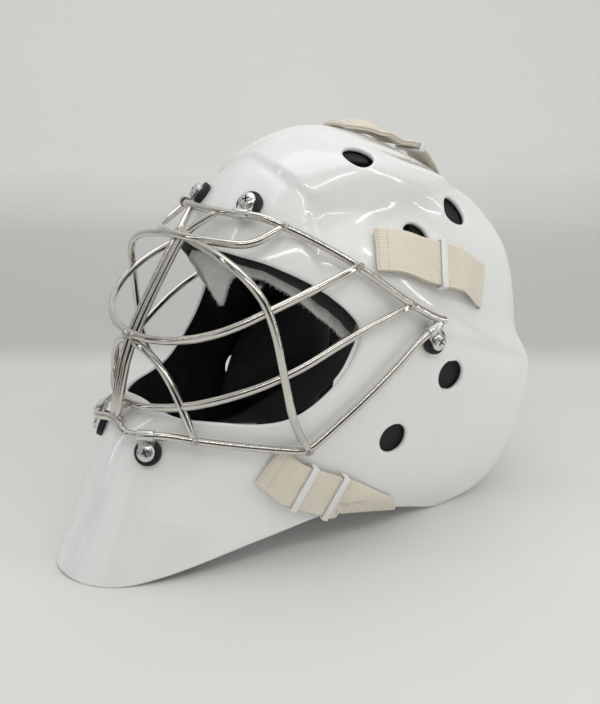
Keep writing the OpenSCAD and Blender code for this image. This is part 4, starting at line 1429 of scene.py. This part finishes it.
def build_backplate():
    def wall(a, b, side):
        x, z = plate_xz(1 - 2 * a, 2 * b - 1)
        return plate_point(x, z, np.full(len(a), PLATE_WALL if side == 0 else 0.0))

    def pad(a, b, side):
        x, z = plate_xz(1 - 2 * a, 2 * b - 1)
        deep = 0.9 + (0 if side == 0 else 10 * edge_drop(a) * edge_drop(b))
        return plate_point(0.86 * x, 0.86 * z, -deep * np.ones(len(a)))

    plate = slab("moulded_backplate", 64, 64, wall)
    bevelled(plate, 1.2, 4, 50)
    smooth(plate, 50)
    dress(plate, "white_plastic", "backplate", material("plate"), nodes=["backplate"])
    foam_pad = slab("backplate_foam", 40, 40, pad)
    bevelled(foam_pad, 1.4, 3, 50)
    apply(foam_pad, "SUBSURF", levels=1, render_levels=1)
    smooth(foam_pad, 60)
    dress(foam_pad, "black_foam", "backplate", material("foam"), nodes=["backplate_pad"])
    rivets = copy_of("plate_rivets", "backplate_rivets")
    bevelled(rivets, 0.15, 2, 35)
    smooth(rivets, 40)
    dress(rivets, "bright_steel", "backplate", material("rivet"), nodes=["plate_rivets"])


# The straps' inner ends, between the mask and the backplate

def plate_up(q):
    """Half the strap's width, up along the plate."""
    return half_width() * unit(plate_point(q[0], q[1] + 1, 0) - plate_point(q[0], q[1] - 1, 0))


def inner_routes():
    across = np.array([-strap_settings().top_width / MM / 2, 0, 0])
    upright = np.array([0, 0, half_width()])
    wall = shell_settings().wall / MM
    on_plate = PLATE_WALL + STRAP_REST
    on_jaw = on_plate + strap_settings().thickness / MM
    middle, _, _, outwards = strap_slot_frame()
    top, side, chin = top_route()[-1], side_route()[-1], chin_route()[-1]
    # the half widths below are of a strap 31 mm wide
    w = half_width() / 15.5
    # where the side and jaw straps come onto the plate, and where they end, from its middle
    side_at, jaw_at = (plate_width() / 2 - 11, 16), (plate_width() / 2 - 21, -42)
    side_end, jaw_end = (side_at[0] - 15, 16), (jaw_at[0] - 15, -42)
    side_on = plate_point(*side_at, on_plate)
    jaw_on = plate_point(*jaw_at, on_jaw)
    return {
        "top_inner_strap": [(top[0], 0, across), (real(0, 156.5, 226), 10, across),
                            (plate_point(0, 62, on_plate), 4, across),
                            (plate_point(0, 47, on_plate), 0, across)],
        "side_inner_left": [(side[0], 0, side[2]), (middle - (wall + 8) * outwards, 3, upright),
                            (side_on + (11, -1, 0), 8, upright), (side_on, 3, plate_up(side_at)),
                            (plate_point(*side_end, on_plate), 0, plate_up(side_end))],
        "jaw_inner_left": [(chin[0], 0, chin[2]), (real(75, 34, 34), 8, np.array([0, 16, -8]) * w),
                           (real(73, 66, 40), 14, np.array([0, 6, -15]) * w),
                           (real(76, 122, 66), 18, np.array([0, 8, -14]) * w),
                           (jaw_on + (15.5, 1, -4.4), 8, -upright), (jaw_on, 3, -plate_up(jaw_at)),
                           (plate_point(*jaw_end, on_jaw), 0, -plate_up(jaw_end))],
    }


def stretch_ends(route, side):
    """Where a strap starts and ends its stretch: its fixed end, and where it comes onto the plate."""
    turn = np.array([side, 1, 1]) * MM
    return tuple(route[0][0] * turn), tuple(route[-2][0] * turn)


def build_inner_straps():
    thick = strap_settings().thickness / MM
    for node, route in inner_routes().items():
        name = node.removesuffix("_left") + "_elastic_inner"
        slot, finish = "cream_elastic", "elastic"
        if node.startswith("jaw"):
            slot, finish = "black_webbing", "webbing"
        strap = ribbon(name, strap_path(route), 0.05, thick - 0.05)
        pieces = [(strap, node, 1)]
        if node.endswith("left"):
            pieces.append((mirrored(strap, name + "_right"), node.replace("left", "right"), -1))
            strap.name = name + "_left"
        for obj, stands_for, side in pieces:
            dress(obj, slot, None, material(finish), nodes=[stands_for])
            start, end = stretch_ends(route, side)
            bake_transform(obj)
            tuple(start)
            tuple(end)


# Stage, lights and camera

CAMERA_AT = (0.5134, -0.3721, 0.3266)
# the way from the mask to the camera
CAMERA_BACK = (0.749, -0.5855, 0.309)
CAMERA_LENS = 46.0
# the way from the camera to the wall, level
TO_THE_WALL = (-0.788, 0.616, 0)
# the paper's painted light and shade, by how far behind the mask it is in metres: the floor, a painted
# shadow along the soft line at its end, and the wall, painted darker and growing lighter upwards
PAPER_PAINTED_LIGHT = [(-0.6, 1.0), (0.0, 0.94), (0.32, 0.86), (0.40, 0.66), (0.62, 0.69), (1.0, 0.77),
                   (1.45, 0.90), (2.2, 1.08)]
PAPER_FROM, PAPER_TO = -0.7, 2.3
PAPER_COLOUR = (0.81, 0.81, 0.795)
# the sweep's flat floor, its bend and the paper's whole reach, in metres
FLOOR_END = 2.4
SWEEP_RADIUS = 1.2
SWEEP_REACH = 6.0
# the paper lies this much under the mask, so that neither cuts into the other
FLOOR_ROOM = 0.0004
# each card's turn about the mask from the camera's side and its rise, in degrees, then its
# distance, half its width and half its height, in metres
CARDS = [("behind", 0, 7, 1.7, 1.0, 0.5), ("left", -78, 12, 1.5, 0.34, 1.1),
         ("right", 78, 12, 1.5, 0.34, 1.1), ("above", 0, 62, 1.5, 1.1, 0.2)]
CARDS_ABOUT = (0, 0, 0.25)
MASK_MIDDLE = (0, 0, 0.16)
# each light's place, aim, size, power and colour
LIGHTS = [("key_strip", (0.75, -0.35, 1.15), MASK_MIDDLE, (1.5, 0.05), 2.4, (1, 0.98, 0.95)),
          ("side_strip", (1.0, 0.75, 0.75), MASK_MIDDLE, (0.06, 1.5), 2.8, (1, 0.99, 0.97)),
          ("front_strip", (-0.55, -1.15, 0.8), MASK_MIDDLE, (0.06, 1.2), 1.1, (0.97, 0.98, 1)),
          ("top_softbox", (-0.1, 0.05, 1.35), MASK_MIDDLE, (0.9, 0.9), 2.6, (1, 1, 1)),
          ("rear_softbox", (-0.9, 1.0, 0.9), MASK_MIDDLE, (1.2, 1.2), 0.9, (1, 1, 1)),
          ("wall_light", (-0.8, 0.62, 1.5), (-2.9, 2.25, 1.7), (0.9, 0.9), 9.0, (1, 1, 1))]
WORLD_COLOUR = (0.955, 0.957, 0.95, 1)
WORLD_STRENGTH = 0.74


def area_light(name, place, aim, size, power, colour):
    data = bpy.data.lights.new(name, "AREA")
    data.shape = "RECTANGLE"
    data.size, data.size_y = size
    data.energy = power
    data.color = colour
    obj = bpy.data.objects.new(name, data)
    bpy.context.scene.collection.objects.link(obj)
    obj.location = place
    obj.rotation_euler = (Vector(aim) - Vector(place)).to_track_quat("-Z", "Y").to_euler()
    obj.visible_camera = False


def backdrop():
    """The studio's paper, with painted light and shade by how far behind the mask it is."""
    p = Paint("studio_paper", Specular_IOR_Level=0.2)
    away = p.node("ShaderNodeVectorMath", operation="DOT_PRODUCT")
    away.inputs[1].default_value = TO_THE_WALL
    p.link(p.place.outputs["Object"], away.inputs[0])
    share = p.node("ShaderNodeMapRange")
    share.inputs["From Min"].default_value = PAPER_FROM
    share.inputs["From Max"].default_value = PAPER_TO
    p.link(away.outputs["Value"], share.inputs["Value"])
    # painted light and shade on the paper
    stops = [((metres - PAPER_FROM) / (PAPER_TO - PAPER_FROM), tint(PAPER_COLOUR, light))
             for metres, light in PAPER_PAINTED_LIGHT]
    colour = p.ramp(share.outputs["Result"], *stops)
    cloud = p.patches(p.noise(2.2, 3), 0.985, 1.0)
    return p.done(p.mix(1.0, colour, cloud, "MULTIPLY"), p.patches(p.noise(6, 2), 0.6, 0.75))


def build_sweep():
    """A wide round sweep, so that there is paper behind the mask from every side."""
    sweep, co = flat_grid("studio_sweep", 96, 96)
    square = np.abs(co[:, :2]).max(1)
    way = co[:, :2] / np.maximum(1e-6, np.linalg.norm(co[:, :2], axis=1))[:, None]
    run = square * SWEEP_REACH
    turn = np.clip((run - FLOOR_END) / SWEEP_RADIUS, 0, math.pi / 2)
    flat = np.minimum(run, FLOOR_END) + SWEEP_RADIUS * np.sin(turn)
    wall = np.maximum(0, run - FLOOR_END - SWEEP_RADIUS * math.pi / 2)
    rise = SWEEP_RADIUS * (1 - np.cos(turn)) + wall
    move_points(sweep, np.column_stack([flat[:, None] * way, rise - FLOOR_ROOM]))
    smooth(sweep, 60)
    sweep.data.materials.append(backdrop())
    return sweep


def build_cards():
    """Dark cards behind the camera, on both sides and above, for the bright wire to mirror."""
    dark = Paint("dark_card", Roughness=0.9)
    dark.shader.inputs["Base Color"].default_value = (0.01, 0.01, 0.01, 1)
    cards = []
    for name, turn, lift, away, wide, high in CARDS:
        card, co = flat_grid("studio_dark_card_" + name, 2, 2)
        angle = math.radians(turn) + math.atan2(CAMERA_BACK[1], CAMERA_BACK[0])
        tilt = math.radians(lift)
        back = np.array([math.cos(tilt) * math.cos(angle), math.cos(tilt) * math.sin(angle),
                         math.sin(tilt)])
        side = unit(np.cross((0, 0, 1), back))
        up = np.cross(back, side)
        move_points(card, away * back + CARDS_ABOUT + co[:, :1] * wide * side + co[:, 1:2] * high * up)
        card.data.materials.append(dark.material)
        card.visible_camera = False
        card.visible_shadow = False
        card.visible_diffuse = False
        cards.append(card)
    return cards


def build_lights():
    scene = bpy.context.scene
    scene.view_settings.view_transform = "Standard"
    world = bpy.data.worlds.new("studio")
    scene.world = world
    world.use_nodes = True
    background = world.node_tree.nodes["Background"]
    background.inputs["Color"].default_value = WORLD_COLOUR
    background.inputs["Strength"].default_value = WORLD_STRENGTH
    for light in LIGHTS:
        area_light(*light)


def build_camera():
    data = bpy.data.cameras.new("photo_camera")
    data.sensor_fit = "AUTO"
    data.sensor_width = 36
    data.lens = CAMERA_LENS
    data.clip_start = 0.01
    obj = bpy.data.objects.new("photo_camera", data)
    bpy.context.scene.collection.objects.link(obj)
    obj.location = CAMERA_AT
    obj.rotation_euler = (-Vector(CAMERA_BACK)).to_track_quat("-Z", "Y").to_euler()
    bpy.context.scene.camera = obj


# Operators

class MASK_OT_stage(bpy.types.Operator):
    """Adds the pale studio sweep, soft lights and the camera"""
    bl_idname = "mask.stage"
    bl_label = "Stage and camera"

    def execute(self, context):
        build_camera()
        build_sweep()
        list(build_cards())
        build_lights()
        return {"FINISHED"}


class MASK_OT_shell(bpy.types.Operator):
    """Builds the glossy laminate shell with its openings and rounded rims"""
    bl_idname = "mask.shell"
    bl_label = "Shell"

    def execute(self, context):
        build_shell()
        return {"FINISHED"}


class MASK_OT_cage(bpy.types.Operator):
    """Builds the welded wire cage"""
    bl_idname = "mask.cage"
    bl_label = "Wire cage"

    def execute(self, context):
        build_wires()
        build_welds()
        return {"FINISHED"}


class MASK_OT_clips(bpy.types.Operator):
    """Builds the clips with their washers, screws and nuts"""
    bl_idname = "mask.clips"
    bl_label = "Clips"

    def execute(self, context):
        build_clips()
        return {"FINISHED"}


class MASK_OT_pads(bpy.types.Operator):
    """Builds the foam liners"""
    bl_idname = "mask.pads"
    bl_label = "Foam pads"

    def execute(self, context):
        build_pads()
        return {"FINISHED"}


class MASK_OT_sweatband(bpy.types.Operator):
    """Builds the felt sweatband with its loose fibres"""
    bl_idname = "mask.sweatband"
    bl_label = "Sweatband"

    def execute(self, context):
        build_sweatband()
        return {"FINISHED"}


class MASK_OT_straps(bpy.types.Operator):
    """Builds the outer elastic straps and their stitching"""
    bl_idname = "mask.straps"
    bl_label = "Outer straps"

    def execute(self, context):
        build_straps()
        return {"FINISHED"}


class MASK_OT_slides(bpy.types.Operator):
    """Builds the moulded strap slides"""
    bl_idname = "mask.slides"
    bl_label = "Strap slides"

    def execute(self, context):
        build_slides()
        return {"FINISHED"}


class MASK_OT_backplate(bpy.types.Operator):
    """Builds the backplate with its foam and rivets"""
    bl_idname = "mask.backplate"
    bl_label = "Backplate"

    def execute(self, context):
        build_backplate()
        return {"FINISHED"}


class MASK_OT_inner_straps(bpy.types.Operator):
    """Builds the straps' inner ends, which run between the mask and the backplate"""
    bl_idname = "mask.inner_straps"
    bl_label = "Inner straps"

    def execute(self, context):
        build_inner_straps()
        return {"FINISHED"}


STEPS = (MASK_OT_stage, MASK_OT_shell, MASK_OT_cage, MASK_OT_clips, MASK_OT_pads, MASK_OT_sweatband,
         MASK_OT_straps, MASK_OT_slides, MASK_OT_backplate, MASK_OT_inner_straps)
SETTINGS = (("mask_shell", MaskShellSettings), ("mask_cage", MaskCageSettings),
            ("mask_straps", MaskStrapSettings), ("mask_pads", MaskPadSettings))


class MASK_PT_panel(bpy.types.Panel):
    """Lists the mask's sizes and its building steps"""
    bl_idname = "MASK_PT_panel"
    bl_label = "Goalie mask"
    bl_space_type = "VIEW_3D"
    bl_region_type = "UI"
    bl_category = "Goalie mask"

    def draw(self, context):
        for name, group in SETTINGS:
            box = self.layout.box()
            for key in group.__annotations__:
                box.prop(getattr(context.scene, name), key)
        for step in STEPS:
            self.layout.operator(step.bl_idname)


def register():
    for name, group in SETTINGS:
        bpy.utils.register_class(group)
        setattr(bpy.types.Scene, name, PointerProperty(type=group))
    for step in STEPS:
        bpy.utils.register_class(step)
    bpy.utils.register_class(MASK_PT_panel)


def unregister():
    bpy.utils.unregister_class(MASK_PT_panel)
    for step in reversed(STEPS):
        bpy.utils.unregister_class(step)
    for name, group in reversed(SETTINGS):
        delattr(bpy.types.Scene, name)
        bpy.utils.unregister_class(group)


def main():
    register()
    bpy.ops.mask.stage()
    bpy.ops.mask.shell()
    bpy.ops.mask.cage()
    bpy.ops.mask.clips()
    bpy.ops.mask.pads()
    bpy.ops.mask.sweatband()
    bpy.ops.mask.straps()
    bpy.ops.mask.slides()
    bpy.ops.mask.backplate()
    bpy.ops.mask.inner_straps()
    bpy.ops.object.select_all(action="DESELECT")


if __name__ == "__main__":
    main()
